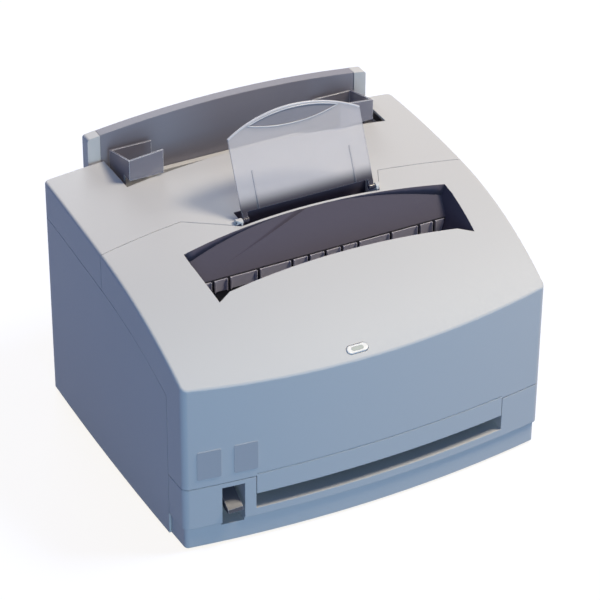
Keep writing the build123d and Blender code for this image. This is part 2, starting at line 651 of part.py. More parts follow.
def support_extension():
    """Pull-up plate that carries the upper half of a tall sheet, with a rolled top rim."""
    plate = prism_y(support_outline(EXT_X0, EXT_X1, EXT_FOOT_Z), EXT_Y0, EXT_Y0 + EXT_T)
    rim = prism_y(support_outline(EXT_X0, EXT_X1, SUPPORT_END_Z - 2.0 + SPLIT), EXT_Y0, SUPPORT_BACK_Y - 0.4)
    body = plate + rim
    scoop = prism_y(support_outline(EXT_X0 + 8, EXT_X1 - 8, EXT_FOOT_Z + 8, 9.0), EXT_Y0 + 2.5, EXT_Y0 + EXT_T + 1)
    scoop = scoop & box(-FAR, FAR, 0, FAR, 0, SUPPORT_END_Z - 6.0)
    ribs = [box(x - 1, x + 1, EXT_Y0, EXT_Y0 + EXT_T, EXT_FOOT_Z, SUPPORT_END_Z - 6.0)
            for x in (-60.0, 13.5, 87.0)]
    return body - scoop + ribs


def output_flap():
    """Clear sheet that holds up printed pages, with side arms and pivot pins."""
    half = FLAP_W / 2
    radius = (half ** 2 + FLAP_CROWN ** 2) / (2 * FLAP_CROWN)
    crown = FLAP_SIDE_H + FLAP_CROWN
    sheet = prism_y([
        Line((-half, FLAP_FOOT), (-half, FLAP_SIDE_H)),
        ThreePointArc((-half, FLAP_SIDE_H), (0, crown), (half, FLAP_SIDE_H)),
        Line((half, FLAP_SIDE_H), (half, FLAP_FOOT)),
        Line((half, FLAP_FOOT), (-half, FLAP_FOOT)),
    ], -FLAP_T / 2, FLAP_T / 2)
    lens_half = 43.5
    lens_low = crown - 15.0
    lens_y = crown - radius + math.sqrt(radius ** 2 - lens_half ** 2)
    lens = prism_y([
        ThreePointArc((-lens_half, lens_y - 1.5), (0, crown - 1.8), (lens_half, lens_y - 1.5)),
        ThreePointArc((lens_half, lens_y - 1.5), (0, lens_low), (-lens_half, lens_y - 1.5)),
    ], -FLAP_T / 2 - 1, -FLAP_T / 2 + 0.9)
    sheet = sheet - lens
    ribs = [box(s * 47.0 - 0.6, s * 47.0 + 0.6, -FLAP_T / 2 - 1.0, 0.0, FLAP_FOOT, 40.0) for s in (-1, 1)]
    arms = []
    for s in (-1, 1):
        x0, x1 = sorted((s * half, s * (half - 5.0)))
        arms.append(box(x0, x1, -FLAP_T / 2, FLAP_T / 2, 0.0, FLAP_FOOT + 2))
        arms.append(rod(x0, x1, 0, 0, FLAP_PIN_R + 0.9))
        arms.append(rod(min(x0, s * (half + 4.0)), max(x1, s * (half + 4.0)), 0, 0, FLAP_PIN_R))
    flap = sheet + ribs + arms
    return Pos(FLAP_X, FLAP_AXIS_Y, FLAP_AXIS_Z) * Rot(-FLAP_LEAN, 0, 0) * flap


RACK_H = 4.0
RACK_MODULE = 1.0
PINION_TEETH = 12
PINION_Z = REAR_HEIGHT - 25.1
PINION_R = RACK_MODULE * PINION_TEETH / 2
TOOTH_SLACK = 0.18       # share of a tooth taken off each side for running clearance


def rack_teeth(x0, count, base_z, side):
    """A row of teeth on a straight rack; side is +1 for teeth that point up."""
    pitch = math.pi * RACK_MODULE
    tip, root = RACK_MODULE, -1.25 * RACK_MODULE
    half = pitch / 4
    lean = math.tan(math.radians(20))
    teeth = []
    for i in range(count):
        x = x0 + i * pitch
        wide, narrow = half - root * lean - TOOTH_SLACK, half - tip * lean - TOOTH_SLACK
        teeth.append(prism_y(loop(
            (x - wide, base_z + side * root - side * 0.3), (x - wide, base_z + side * root),
            (x - narrow, base_z + side * (tip - 0.15)), (x + narrow, base_z + side * (tip - 0.15)),
            (x + wide, base_z + side * root), (x + wide, base_z + side * root - side * 0.3),
        ), RACK_Y0, RACK_Y1))
    return teeth


def guide_rack(side):
    """Toothed arm in front of the chute; side is +1 on the upper rack of the left guide."""
    pitch_z = PINION_Z + side * PINION_R
    back_z0, back_z1 = sorted((pitch_z + side * 1.25 * RACK_MODULE, pitch_z + side * (1.25 * RACK_MODULE + RACK_H)))
    if side > 0:
        x0, x1 = GUIDE_LEFT_X - GUIDE_T, GUIDE_MID_X + 9.0
    else:
        x0, x1 = GUIDE_MID_X - 9.0, GUIDE_RIGHT_X + GUIDE_T
    bar = box(x0, x1, RACK_Y0, RACK_Y1, back_z0, back_z1)
    pitch = math.pi * RACK_MODULE
    count = int((GUIDE_TRAVEL + 14.0) / pitch)
    first = GUIDE_MID_X + 2 * pitch - (count - 1) * pitch if side > 0 else GUIDE_MID_X - 2 * pitch
    neck_x0, neck_x1 = (x0, x0 + 12.0) if side > 0 else (x1 - 12.0, x1)
    neck = box(neck_x0, neck_x1, RACK_Y0, GUIDE_NECK_Y + 1.0, back_z0, back_z1)
    return bar + rack_teeth(first, count, pitch_z, -side) + neck


def paper_guide(side):
    """Clear guide: a blade along the sheet's edge with two fins across; side is -1 on the left."""
    x_edge = GUIDE_LEFT_X if side < 0 else GUIDE_RIGHT_X
    x0, x1 = sorted((x_edge, x_edge + side * GUIDE_T))
    step_z = top_z(GUIDE_NECK_Y) + 2.2
    blade = prism_x(loop(
        (GUIDE_FRONT_Y, step_z), (GUIDE_FRONT_Y, GUIDE_TOP_FRONT), (GUIDE_BACK_Y, GUIDE_TOP_BACK),
        (GUIDE_BACK_Y, GUIDE_FOOT_Z - 8.0), (GUIDE_NECK_Y, GUIDE_FOOT_Z - 8.0), (GUIDE_NECK_Y, step_z),
    ), x0, x1)

    def fin(length, y0, z0, z1, lift):
        a, b = x_edge, x_edge - side * length
        return prism_y(loop((a + side * 0.2, z0), (b, z0), (b, z1 + lift), (a + side * 0.2, z1)), y0, y0 + GUIDE_T)

    front = fin(GUIDE_FIN, GUIDE_FRONT_Y, step_z, GUIDE_TOP_FRONT, 3.0)
    rear = fin(GUIDE_REAR_FIN, GUIDE_BACK_Y - GUIDE_T, GUIDE_FOOT_Z + 8.0, GUIDE_TOP_BACK, 0.0)
    shelf_x = sorted((x_edge, x_edge - side * 14.0))
    shelf = box(shelf_x[0], shelf_x[1], GUIDE_FRONT_Y, GUIDE_NECK_Y - 1.0, step_z, step_z + GUIDE_T)
    return blade + front + rear + shelf + guide_rack(1 if side < 0 else -1)


def trapezoid_gear(teeth, module, width, bore, phase=0.0, hub=0.0):
    """A spur gear about its own Z axis, one tooth centred at the angle phase."""
    pitch_r = module * teeth / 2
    root_r, tip_r = pitch_r - 1.25 * module, pitch_r + 0.85 * module
    step = 2 * math.pi / teeth
    root_half, pitch_half, tip_half = step * 0.345, step * (0.25 - TOOTH_SLACK * 0.12), step * 0.115

    def at(r, a):
        return (r * math.cos(a), r * math.sin(a))

    points = []
    for i in range(teeth):
        a = phase + i * step
        points += [at(root_r, a - root_half), at(pitch_r, a - pitch_half), at(tip_r, a - tip_half),
                   at(tip_r, a + tip_half), at(pitch_r, a + pitch_half), at(root_r, a + root_half)]
    gear = prism_z(loop(*points), 0, width)
    if root_r > 14.0:
        web = Pos(0, 0, width - 1.2) * Cylinder(root_r - 2.2, 2.4 + 0.01) - Pos(0, 0, width / 2) * Cylinder(bore + 3.0, 2 * width)
        gear = gear - web
    return gear - Cylinder(bore, 4 * width) if bore else gear


def guide_pinion():
    """Pinion between the two racks, turning on a stud on the chute."""
    gear = trapezoid_gear(PINION_TEETH, RACK_MODULE, RACK_Y1 - RACK_Y0, STUD_R + RUN,
                          math.pi / 2 + math.pi / PINION_TEETH)
    return Pos(GUIDE_MID_X, RACK_Y1, PINION_Z) * Rot(90, 0, 0) * gear


# Drive train: every gear shares one plane beside the left frame and one module, so all pitch lines
# run at the same speed, and each roller's radius is its gear's teeth times ROLL_PER_TOOTH.
DRUM_R = DRUM_TEETH * ROLL_PER_TOOTH
TRANSFER_R = TRANSFER_TEETH * ROLL_PER_TOOTH
PRESSURE_R = PRESSURE_TEETH * ROLL_PER_TOOTH
REGISTER_R = REGISTER_TEETH * ROLL_PER_TOOTH
EXIT_R = EXIT_TEETH * ROLL_PER_TOOTH
PICKUP_R = PICKUP_TEETH * ROLL_PER_TOOTH
DRUM_Z = PAPER_Z + SHEET_GAP / 2 + DRUM_R
TRANSFER_Z = PAPER_Z - SHEET_GAP / 2 - TRANSFER_R
MODULE = 2 * (DRUM_Z - TRANSFER_Z) / (DRUM_TEETH + TRANSFER_TEETH)


def mesh_distance(a, b):
    return MODULE * (a + b) / 2


def swing(c, distance, angle):
    """The point at a distance and an angle in degrees from c, seen along X."""
    return (c[0] + distance * math.cos(math.radians(angle)), c[1] + distance * math.sin(math.radians(angle)))


def between(c1, d1, c2, d2, side):
    """The point at d1 from c1 and d2 from c2, on the chosen side of the line between them."""
    dy, dz = c2[0] - c1[0], c2[1] - c1[1]
    span = math.hypot(dy, dz)
    along = (d1 ** 2 - d2 ** 2 + span ** 2) / (2 * span)
    off = side * math.sqrt(max(d1 ** 2 - along ** 2, 0.0))
    return (c1[0] + (along * dy - off * dz) / span, c1[1] + (along * dz + off * dy) / span)


FEED_IDLER_TEETH = 38
PICKUP_IDLER_TEETH = 92
MIDDLE_TEETH = 48
EXIT_IDLER_TEETH = 21
RISER_TEETH = 60
DRUM_C = (DRUM_Y, DRUM_Z)
TRANSFER_C = (DRUM_Y, TRANSFER_Z)
REGISTER_C = (REGISTER_Y, PAPER_Z - SHEET_GAP / 2 - REGISTER_R)
PRESSURE_C = (FUSER_Y, PAPER_Z - SHEET_GAP / 2 - PRESSURE_R)
EXIT_C = (EXIT_Y, PAPER_Z - SHEET_GAP / 2 - EXIT_R)
PICKUP_C = (PICKUP_Y, PICKUP_Z)
DELIVERY_C = (DELIVERY_Y, DELIVERY_Z)
FEED_IDLER_C = between(TRANSFER_C, mesh_distance(TRANSFER_TEETH, FEED_IDLER_TEETH),
                       REGISTER_C, mesh_distance(FEED_IDLER_TEETH, REGISTER_TEETH), -1)
PICKUP_IDLER_C = between(DRUM_C, mesh_distance(DRUM_TEETH, PICKUP_IDLER_TEETH),
                         PICKUP_C, mesh_distance(PICKUP_IDLER_TEETH, PICKUP_TEETH), 1)
MIDDLE_A_C = swing(DRUM_C, mesh_distance(DRUM_TEETH, MIDDLE_TEETH), 194.0)
MIDDLE_B_C = between(MIDDLE_A_C, mesh_distance(MIDDLE_TEETH, MIDDLE_TEETH),
                     PRESSURE_C, mesh_distance(MIDDLE_TEETH, PRESSURE_TEETH), -1)
EXIT_IDLER_C = between(PRESSURE_C, mesh_distance(PRESSURE_TEETH, EXIT_IDLER_TEETH),
                       EXIT_C, mesh_distance(EXIT_IDLER_TEETH, EXIT_TEETH), 1)
RISER_A_C = swing(MIDDLE_B_C, mesh_distance(MIDDLE_TEETH, RISER_TEETH), 88.0)
RISER_B_C = between(RISER_A_C, 2 * MODULE * RISER_TEETH / 2,
                    DELIVERY_C, mesh_distance(RISER_TEETH, DELIVERY_TEETH), -1)
MOTOR_C = swing(MIDDLE_A_C, mesh_distance(MIDDLE_TEETH, MOTOR_TEETH), 90.0)

# name: (centre, teeth, the gear it meshes with)
TRAIN = {
    "drum": (DRUM_C, DRUM_TEETH, None),
    "transfer": (TRANSFER_C, TRANSFER_TEETH, "drum"),
    "feed_idler": (FEED_IDLER_C, FEED_IDLER_TEETH, "transfer"),
    "register": (REGISTER_C, REGISTER_TEETH, "feed_idler"),
    "pickup_idler": (PICKUP_IDLER_C, PICKUP_IDLER_TEETH, "drum"),
    "pickup": (PICKUP_C, PICKUP_TEETH, "pickup_idler"),
    "middle_a": (MIDDLE_A_C, MIDDLE_TEETH, "drum"),
    "middle_b": (MIDDLE_B_C, MIDDLE_TEETH, "middle_a"),
    "pressure": (PRESSURE_C, PRESSURE_TEETH, "middle_b"),
    "exit_idler": (EXIT_IDLER_C, EXIT_IDLER_TEETH, "pressure"),
    "exit": (EXIT_C, EXIT_TEETH, "exit_idler"),
    "riser_a": (RISER_A_C, RISER_TEETH, "middle_b"),
    "riser_b": (RISER_B_C, RISER_TEETH, "riser_a"),
    "delivery": (DELIVERY_C, DELIVERY_TEETH, "riser_b"),
    "motor": (MOTOR_C, MOTOR_TEETH, "middle_a"),
}


def train_phases():
    """The angle of one tooth on each gear, so that every pair meets tooth to gap."""
    phases = {"drum": 0.0}
    for name, (centre, teeth, mate) in TRAIN.items():
        if mate is None:
            continue
        mate_c, mate_teeth, _ = TRAIN[mate]
        direction = math.atan2(centre[1] - mate_c[1], centre[0] - mate_c[0])
        mate_share = (direction - phases[mate]) * mate_teeth / (2 * math.pi)
        share = 0.5 - mate_share
        phases[name] = direction + math.pi - share * 2 * math.pi / teeth
    return phases


PHASES = train_phases()


def train_gear(name, bore):
    """One gear of the train in its place; the gear's own Z axis lies along X."""
    (y, z), teeth, _ = TRAIN[name]
    gear = trapezoid_gear(teeth, MODULE, GEAR_W, bore, PHASES[name])
    return Pos(GEAR_X0, y, z) * Rot(0, 90, 0) * Rot(0, 0, 90) * gear


IDLERS = ("feed_idler", "pickup_idler", "middle_a", "middle_b", "exit_idler", "riser_a", "riser_b")
FRAME_LEFT_IN = FRAME_LEFT_X + FRAME_T
FRAME_RIGHT_OUT = FRAME_RIGHT_X + FRAME_T
FRAME_FRONT_Y = -96.0
FRAME_BACK_Y = DEPTH / 2 - 6.5
FRAME_TOP_Z = 150.0


def frame_outline(x0):
    """Side plate, cut away above the fuser and under the bin."""
    plate = prism_x(loop(
        (FRAME_FRONT_Y, WALL), (FRAME_BACK_Y, WALL), (FRAME_BACK_Y, FRAME_TOP_Z), (DRUM_Y - 34.0, FRAME_TOP_Z),
        (DELIVERY_Y - 14.0, FRAME_TOP_Z - 26.0), (FRAME_FRONT_Y, 84.0),
    ), x0, x0 + FRAME_T)
    return plate


def shaft_holes(grow=RUN):
    """Bearing holes in the side plates for the shafts that run through them."""
    return [rod(-FAR, FAR, c[0], c[1], SHAFT_R + grow) for c in (TRANSFER_C, REGISTER_C, PICKUP_C)]


CARTRIDGE_X0 = SHEET_LEFT - 19.0
CARTRIDGE_X1 = SHEET_RIGHT + 21.0
REST_PLACES = ((DRUM_Y - 12.0, 74.0), (DRUM_Y + 67.0, 50.0))


def left_frame():
    """Left side plate with the riveted studs of the idler gears."""
    plate = frame_outline(FRAME_LEFT_X) - shaft_holes()
    plate = plate - rod(-FAR, FAR, MOTOR_C[0], MOTOR_C[1], 4.0)
    flange = box(FRAME_LEFT_X - 10.0, FRAME_LEFT_IN, FRAME_FRONT_Y, FRAME_BACK_Y, WALL, WALL + FRAME_T)
    studs = [rod(FRAME_LEFT_X, GEAR_X0 + GEAR_W + 0.8, *TRAIN[n][0], STUD_R) for n in IDLERS]
    rests = [rod(FRAME_LEFT_X, CARTRIDGE_X0 - SHEET_GAP, *c, 4.0) for c in REST_PLACES]
    return plate + flange + studs + rests


def right_frame():
    """Right side plate."""
    plate = frame_outline(FRAME_RIGHT_X) - shaft_holes()
    flange = box(FRAME_RIGHT_X, FRAME_RIGHT_OUT + 8.0, FRAME_FRONT_Y, FRAME_BACK_Y, WALL, WALL + FRAME_T)
    rests = [rod(CARTRIDGE_X1 + SHEET_GAP, FRAME_RIGHT_OUT, *c, 4.0) for c in REST_PLACES]
    return plate + flange + rests


def idler_gear(name):
    return train_gear(name, STUD_R + RUN)


def lathed_roller(centre, body_r, x0, x1, shaft_r, shaft_x0, shaft_x1):
    return rod(x0, x1, *centre, body_r) + rod(shaft_x0, shaft_x1, *centre, shaft_r)


def segments(centre, r, width, offsets, shaft_r, shaft_x0, shaft_x1):
    """Short roller bodies on one shaft, placed about the middle of the paper path."""
    rollers = [rod(PATH_X + d - width / 2, PATH_X + d + width / 2, *centre, r) for d in offsets]
    return rod(shaft_x0, shaft_x1, *centre, shaft_r) + rollers


ROLL_X0 = PATH_X - PAPER_W / 2 - 4.0
ROLL_X1 = PATH_X + PAPER_W / 2 + 4.0
SHAFT_X0 = GEAR_X0


def transfer_roller():
    """Foam transfer roller on a steel shaft with its gear."""
    return lathed_roller(TRANSFER_C, TRANSFER_R, ROLL_X0, ROLL_X1, SHAFT_R, FRAME_LEFT_X, FRAME_RIGHT_OUT) \
        + train_gear("transfer", 0)


def registration_roller():
    """Lower feed roller that squares the sheet, with its gear."""
    return lathed_roller(REGISTER_C, REGISTER_R, ROLL_X0, ROLL_X1, SHAFT_R, FRAME_LEFT_X, FRAME_RIGHT_OUT) \
        + train_gear("register", 0)


REGISTER_PINCH_R = 4.5
EXIT_PINCH_R = 5.0
PINCH_OFFSETS = (-90.0, -45.0, 0.0, 45.0, 90.0)
EXIT_OFFSETS = (-85.0, -30.0, 30.0, 85.0)


def above(centre, r, pinch_r):
    return (centre[0], centre[1] + r + SHEET_GAP + pinch_r)


REGISTER_PINCH_C = above(REGISTER_C, REGISTER_R, REGISTER_PINCH_R)
EXIT_PINCH_C = above(EXIT_C, EXIT_R, EXIT_PINCH_R)
DELIVERY_PINCH_C = (DELIVERY_PINCH_Y, DELIVERY_Z)


def registration_pinch():
    return segments(REGISTER_PINCH_C, REGISTER_PINCH_R, 16.0, PINCH_OFFSETS, STUD_R, ROLL_X0 - 8.0, ROLL_X1 + 8.0)


def pickup_roller():
    """Rubber pickup roller on its shaft, with its gear."""
    return segments(PICKUP_C, PICKUP_R, 34.0, (0.0,), SHAFT_R, FRAME_LEFT_X, FRAME_RIGHT_OUT) \
        + train_gear("pickup", 0)


DRUM_JOURNAL_R = 4.0


def photo_drum():
    """Coated drum with end flanges; its journals run in the cartridge's end walls."""
    return lathed_roller(DRUM_C, DRUM_R, ROLL_X0 + 1.0, ROLL_X1 - 1.0, DRUM_JOURNAL_R, SHAFT_X0, CARTRIDGE_X1) \
        + train_gear("drum", 0)


DEVELOPER_R = 7.0
CHARGE_R = 5.0
DEVELOPER_C = swing(DRUM_C, DRUM_R + DEVELOPER_R + SHEET_GAP, 15.0)
CHARGE_C = swing(DRUM_C, DRUM_R + CHARGE_R + SHEET_GAP, 110.0)
BEAM_Y0 = 24.0
BEAM_Y1 = 32.0


def developer_roller():
    return lathed_roller(DEVELOPER_C, DEVELOPER_R, ROLL_X0 + 2, ROLL_X1 - 2, SHAFT_R, CARTRIDGE_X0, CARTRIDGE_X1)


def charge_roller():
    return lathed_roller(CHARGE_C, CHARGE_R, ROLL_X0 + 2, ROLL_X1 - 2, STUD_R, CARTRIDGE_X0, CARTRIDGE_X1)


HOPPER_Y0 = DRUM_Y + 32.0
HOPPER_Y1 = DRUM_Y + 64.0
HOPPER_Z0 = 48.0
HOPPER_Z1 = 100.0
CARTRIDGE_FRONT_Y = DRUM_Y - 22.0


def toner_cartridge():
    """Cartridge body: end walls, roof with a slit for the light beam, and the toner hopper."""
    x0, x1 = CARTRIDGE_X0, CARTRIDGE_X1
    rest_y, rest_z = REST_PLACES[1]
    outline = loop(
        (CARTRIDGE_FRONT_Y, 44.0), (rest_y + 5.0, 44.0), (rest_y + 5.0, rest_z + 8.0), (HOPPER_Y1, HOPPER_Z0 + 24.0),
        (HOPPER_Y1, HOPPER_Z1), (HOPPER_Y0 - 2.0, HOPPER_Z1 + 8.0), (CARTRIDGE_FRONT_Y, 84.0),
    )
    ends = [prism_x(outline, x, x + WALL) for x in (x0, x1 - WALL)]
    hopper = prism_x(loop((HOPPER_Y0, HOPPER_Z0), (HOPPER_Y1, HOPPER_Z0), (HOPPER_Y1, HOPPER_Z1),
                          (HOPPER_Y0, HOPPER_Z1 + 7.0)), x0, x1)
    inside = prism_x(loop((HOPPER_Y0 + 2, HOPPER_Z0 + 2), (HOPPER_Y1 - 2, HOPPER_Z0 + 2), (HOPPER_Y1 - 2, HOPPER_Z1 - 1.5),
                          (HOPPER_Y0 + 2, HOPPER_Z1 + 4.5)), x0 + WALL, x1 - WALL)
    mouth = box(ROLL_X0, ROLL_X1, HOPPER_Y0 - 2, HOPPER_Y0 + 3, HOPPER_Z0 + 3, HOPPER_Z0 + 14)
    roof = [prism_x(loop((y0, z0), (y1, z1), (y1, z1 + WALL), (y0, z0 + WALL)), x0, x1)
            for y0, y1, z0, z1 in ((CARTRIDGE_FRONT_Y, BEAM_Y0, 76.0, 82.0), (BEAM_Y1, HOPPER_Y0 + 1.0, 84.0, 90.0))]
    front = box(x0, x1, CARTRIDGE_FRONT_Y, CARTRIDGE_FRONT_Y + 2.0, 60.0, 78.0)
    grip = box(PATH_X - 35, PATH_X + 35, CARTRIDGE_FRONT_Y - 5.0, CARTRIDGE_FRONT_Y + 1.0, 74.0, 77.0)
    body = hopper - inside - mouth
    body = body + ends + roof + front + grip
    for centre, r in ((DRUM_C, DRUM_JOURNAL_R), (DEVELOPER_C, SHAFT_R), (CHARGE_C, STUD_R)):
        body = body - rod(x0 - 1, x1 + 1, *centre, r + RUN)
    return body


SCAN_Y0 = -2.0
SCAN_Y1 = 88.0
SCAN_Z0 = 118.0
SCAN_H = 28.0
SCAN_FLOOR = 2.5
MIRROR_C = (PATH_X, 64.0)


def scanner_housing():
    """Tray of the laser scanner, carried between the side plates."""
    x0, x1 = ROLL_X0 + 6, ROLL_X1 - 6
    tray = box(x0, x1, SCAN_Y0, SCAN_Y1, SCAN_Z0, SCAN_Z0 + SCAN_H) - \
        box(x0 + WALL, x1 - WALL, SCAN_Y0 + WALL, SCAN_Y1 - WALL, SCAN_Z0 + SCAN_FLOOR, FAR)
    wings = [box(FRAME_LEFT_IN, x0 + 1, y, y + 16, SCAN_Z0, SCAN_Z0 + SCAN_FLOOR) for y in (6.0, 66.0)]
    wings += [box(x1 - 1, FRAME_RIGHT_X, y, y + 16, SCAN_Z0, SCAN_Z0 + SCAN_FLOOR) for y in (6.0, 66.0)]
    slit = box(PATH_X - 100, PATH_X + 100, BEAM_Y0, BEAM_Y1, SCAN_Z0 - 1, SCAN_Z0 + SCAN_FLOOR + 1)
    boss = Pos(*MIRROR_C, SCAN_Z0 + SCAN_FLOOR + 1) * Cylinder(17.0, 2.0)
    return tray + wings - slit + boss + scanner_motor()


def scanner_cover():
    x0, x1 = ROLL_X0 + 6, ROLL_X1 - 6
    lid = box(x0, x1, SCAN_Y0, SCAN_Y1, SCAN_Z0 + SCAN_H, SCAN_Z0 + SCAN_H + 2.0)
    ribs = [box(x0 + 12 + i * 28, x0 + 14 + i * 28, SCAN_Y0 + 6, SCAN_Y1 - 6, SCAN_Z0 + SCAN_H, SCAN_Z0 + SCAN_H + 3.5)
            for i in range(8)]
    return lid + ribs


def scanner_motor():
    z = SCAN_Z0 + SCAN_FLOOR + 2.0
    base = Pos(*MIRROR_C, z + 3.5) * Cylinder(14.0, 7.0)
    return base + Pos(*MIRROR_C, z + 11.0) * Cylinder(STUD_R, 9.0)


def polygon_mirror():
    """Six-sided mirror on the scanner motor's spindle."""
    z = SCAN_Z0 + SCAN_FLOOR + 9.0 + SPLIT
    mirror = Pos(*MIRROR_C, z) * extrude(RegularPolygon(12.0, 6), 5.0)
    return mirror + Pos(*MIRROR_C, z + 6.0) * Cylinder(6.0, 2.0) - Pos(*MIRROR_C, z) * Cylinder(STUD_R + RUN, 40.0)


def scanner_optics():
    """Long curved lens and the folding mirror that sends the beam down."""
    z0 = SCAN_Z0 + SCAN_FLOOR
    half = 80.0
    lens = prism_z([
        ThreePointArc((PATH_X - half, 44.0), (PATH_X, 36.0), (PATH_X + half, 44.0)),
        Line((PATH_X + half, 44.0), (PATH_X + half, 49.0)),
        ThreePointArc((PATH_X + half, 49.0), (PATH_X, 46.0), (PATH_X - half, 49.0)),
        Line((PATH_X - half, 49.0), (PATH_X - half, 44.0)),
    ], z0, z0 + 14.0)
    y0 = BEAM_Y0 - 12.0
    mirror = prism_x(loop((y0, z0), (y0 + 4, z0), (y0 + 18, z0 + 16), (y0 + 14, z0 + 16)), PATH_X - 96, PATH_X + 96)
    return [lens, mirror]


FUSER_X0 = SHEET_LEFT - 18.0
FUSER_X1 = SHEET_RIGHT + 18.0
FILM_R = 12.0
FILM_C = (FUSER_Y, PAPER_Z + SHEET_GAP / 2 + FILM_R)
FUSER_FRONT_Y = FUSER_Y - 22.0
FUSER_BACK_Y = FUSER_Y + 22.0


def fuser_frame():
    """Channel that carries the pressure roller and the heater."""
    floor = box(FUSER_X0, FUSER_X1, FUSER_FRONT_Y, FUSER_BACK_Y, WALL, WALL + 2.0)
    ends = [box(x, x + WALL, FUSER_FRONT_Y, FUSER_BACK_Y, WALL, 64.0) for x in (FUSER_X0, FUSER_X1 - WALL)]
    lips = box(FUSER_X0, FUSER_X1, FUSER_BACK_Y - 2, FUSER_BACK_Y, WALL, PAPER_Z - 3) \
        + box(FUSER_X0, FUSER_X1, FUSER_FRONT_Y, FUSER_FRONT_Y + 2, WALL, PAPER_Z - 3)
    frame = floor + ends + lips + exit_bracket()
    return frame - rod(-FAR, FAR, *PRESSURE_C, SHAFT_R + 1.0 + RUN) - rod(-FAR, FAR, *FILM_C, 5.0)


def pressure_roller():
    return lathed_roller(PRESSURE_C, PRESSURE_R, ROLL_X0, ROLL_X1, SHAFT_R + 1.0, SHAFT_X0, FUSER_X1 + 4.0) \
        + train_gear("pressure", 0)


def fuser_film():
    """Thin sleeve that runs round the heater."""
    return rod(ROLL_X0 - 1, ROLL_X1 + 1, *FILM_C, FILM_R) - rod(-FAR, FAR, *FILM_C, FILM_R - 0.8)


def fuser_heater():
    """Heater and its D-shaped holder inside the sleeve, held in the fuser's end walls."""
    core = rod(ROLL_X0 - 3, ROLL_X1 + 3, *FILM_C, FILM_R - 0.8 - SPLIT)
    core = core & box(-FAR, FAR, -FAR, FAR, 0, FILM_C[1] + 4.0)
    return core + rod(FUSER_X0, FUSER_X1, *FILM_C, 5.0)


def fuser_cover():
    """Hood over the heater; its rounded front turns the sheet up."""
    x0, x1 = FUSER_X0, FUSER_X1
    hood = prism_x([
        Line((FUSER_FRONT_Y, 64.0), (FUSER_BACK_Y, 64.0)),
        Line((FUSER_BACK_Y, 64.0), (FUSER_BACK_Y, 70.0)),
        ThreePointArc((FUSER_BACK_Y, 70.0), (FUSER_Y + 4, 78.0), (FUSER_FRONT_Y, 68.0)),
        Line((FUSER_FRONT_Y, 68.0), (FUSER_FRONT_Y, 64.0)),
    ], x0, x1)
    return hood - box(x0 + WALL, x1 - WALL, FUSER_FRONT_Y + 2, FUSER_BACK_Y - 2, 60.0, 67.0)


def exit_roller():
    """Roller that drives the sheet out of the front slot, with its gear."""
    return segments(EXIT_C, EXIT_R, 18.0, EXIT_OFFSETS, SHAFT_R - 0.5, SHAFT_X0, ROLL_X1 + 6.0) + train_gear("exit", 0)


def exit_pinch():
    return segments(EXIT_PINCH_C, EXIT_PINCH_R, 12.0, EXIT_OFFSETS, STUD_R, ROLL_X0 - 2.0, ROLL_X1 + 6.0)


def exit_bracket():
    """Two ears on the fuser's front that carry the exit rollers."""
    ears = []
    for x0 in (ROLL_X0 - 1.5, ROLL_X1 + 3.0):
        ear = box(x0, x0 + WALL, EXIT_Y - 4.5, FUSER_FRONT_Y, WALL, EXIT_PINCH_C[1] + 5.0)
        ear = ear - rod(-FAR, FAR, *EXIT_C, SHAFT_R - 0.5 + RUN) - rod(-FAR, FAR, *EXIT_PINCH_C, STUD_R + RUN)
        ears.append(ear)
    bar = box(ROLL_X0 - 1.5, ROLL_X1 + 3.0 + WALL, FUSER_FRONT_Y - 4.0, FUSER_FRONT_Y, WALL, SLOT_FLOOR_Z - 10.0)
    return ears[0] + ears[1] + bar


def delivery_roller():
    """Upper delivery roller on the front cover, with the gear that meets the train when it shuts."""
    return segments(DELIVERY_C, DELIVERY_R, 14.0, EXIT_OFFSETS, SHAFT_R, SHAFT_X0, BRACKET_RIGHT_X + WALL + 1) \
        + train_gear("delivery", 0)


def delivery_pinch():
    return segments(DELIVERY_PINCH_C, DELIVERY_PINCH_R, 12.0, EXIT_OFFSETS, STUD_R,
                    BRACKET_LEFT_X - WALL, BRACKET_RIGHT_X + WALL)


GUIDE_ARC_C = (-95.0, 92.0)
GUIDE_ARC_R = 38.0


def delivery_guide():
    """Curved plate in the front cover that turns the sheet up and back into the bin."""
    y, z, r = *GUIDE_ARC_C, GUIDE_ARC_R
    start, end = 205.0, 80.0
    mid = (start + end) / 2
    c = (y, z)
    tail = (DELIVERY_Y - DELIVERY_R - 2.0, DELIVERY_Z - 8.5)
    edges = [
        ThreePointArc(swing(c, r, start), swing(c, r, mid), swing(c, r, end)),
        Line(swing(c, r, end), tail),
        Line(tail, (tail[0], tail[1] + 2.0)),
        Line((tail[0], tail[1] + 2.0), swing(c, r + 2.0, end)),
        ThreePointArc(swing(c, r + 2.0, end), swing(c, r + 2.0, mid), swing(c, r + 2.0, start)),
        Line(swing(c, r + 2.0, start), swing(c, r, start)),
    ]
    plate = prism_x(edges, BRACKET_LEFT_X, BRACKET_RIGHT_X)
    ribs = [
        (box(x - 1, x + 1, FRONT_Y, y, z - 6.0, z + 6.0) & INNER) - rod(-FAR, FAR, y, z, r + 1.0)
        for x in (-80.0, -14.0 + 30.0, 112.0)
    ]
    return plate + ribs


LEVER_REACH = 28.0
LEVER_DROP = 11.0
BLADE_LEN = 11.0
BLADE_REST = 13.0        # degrees below level


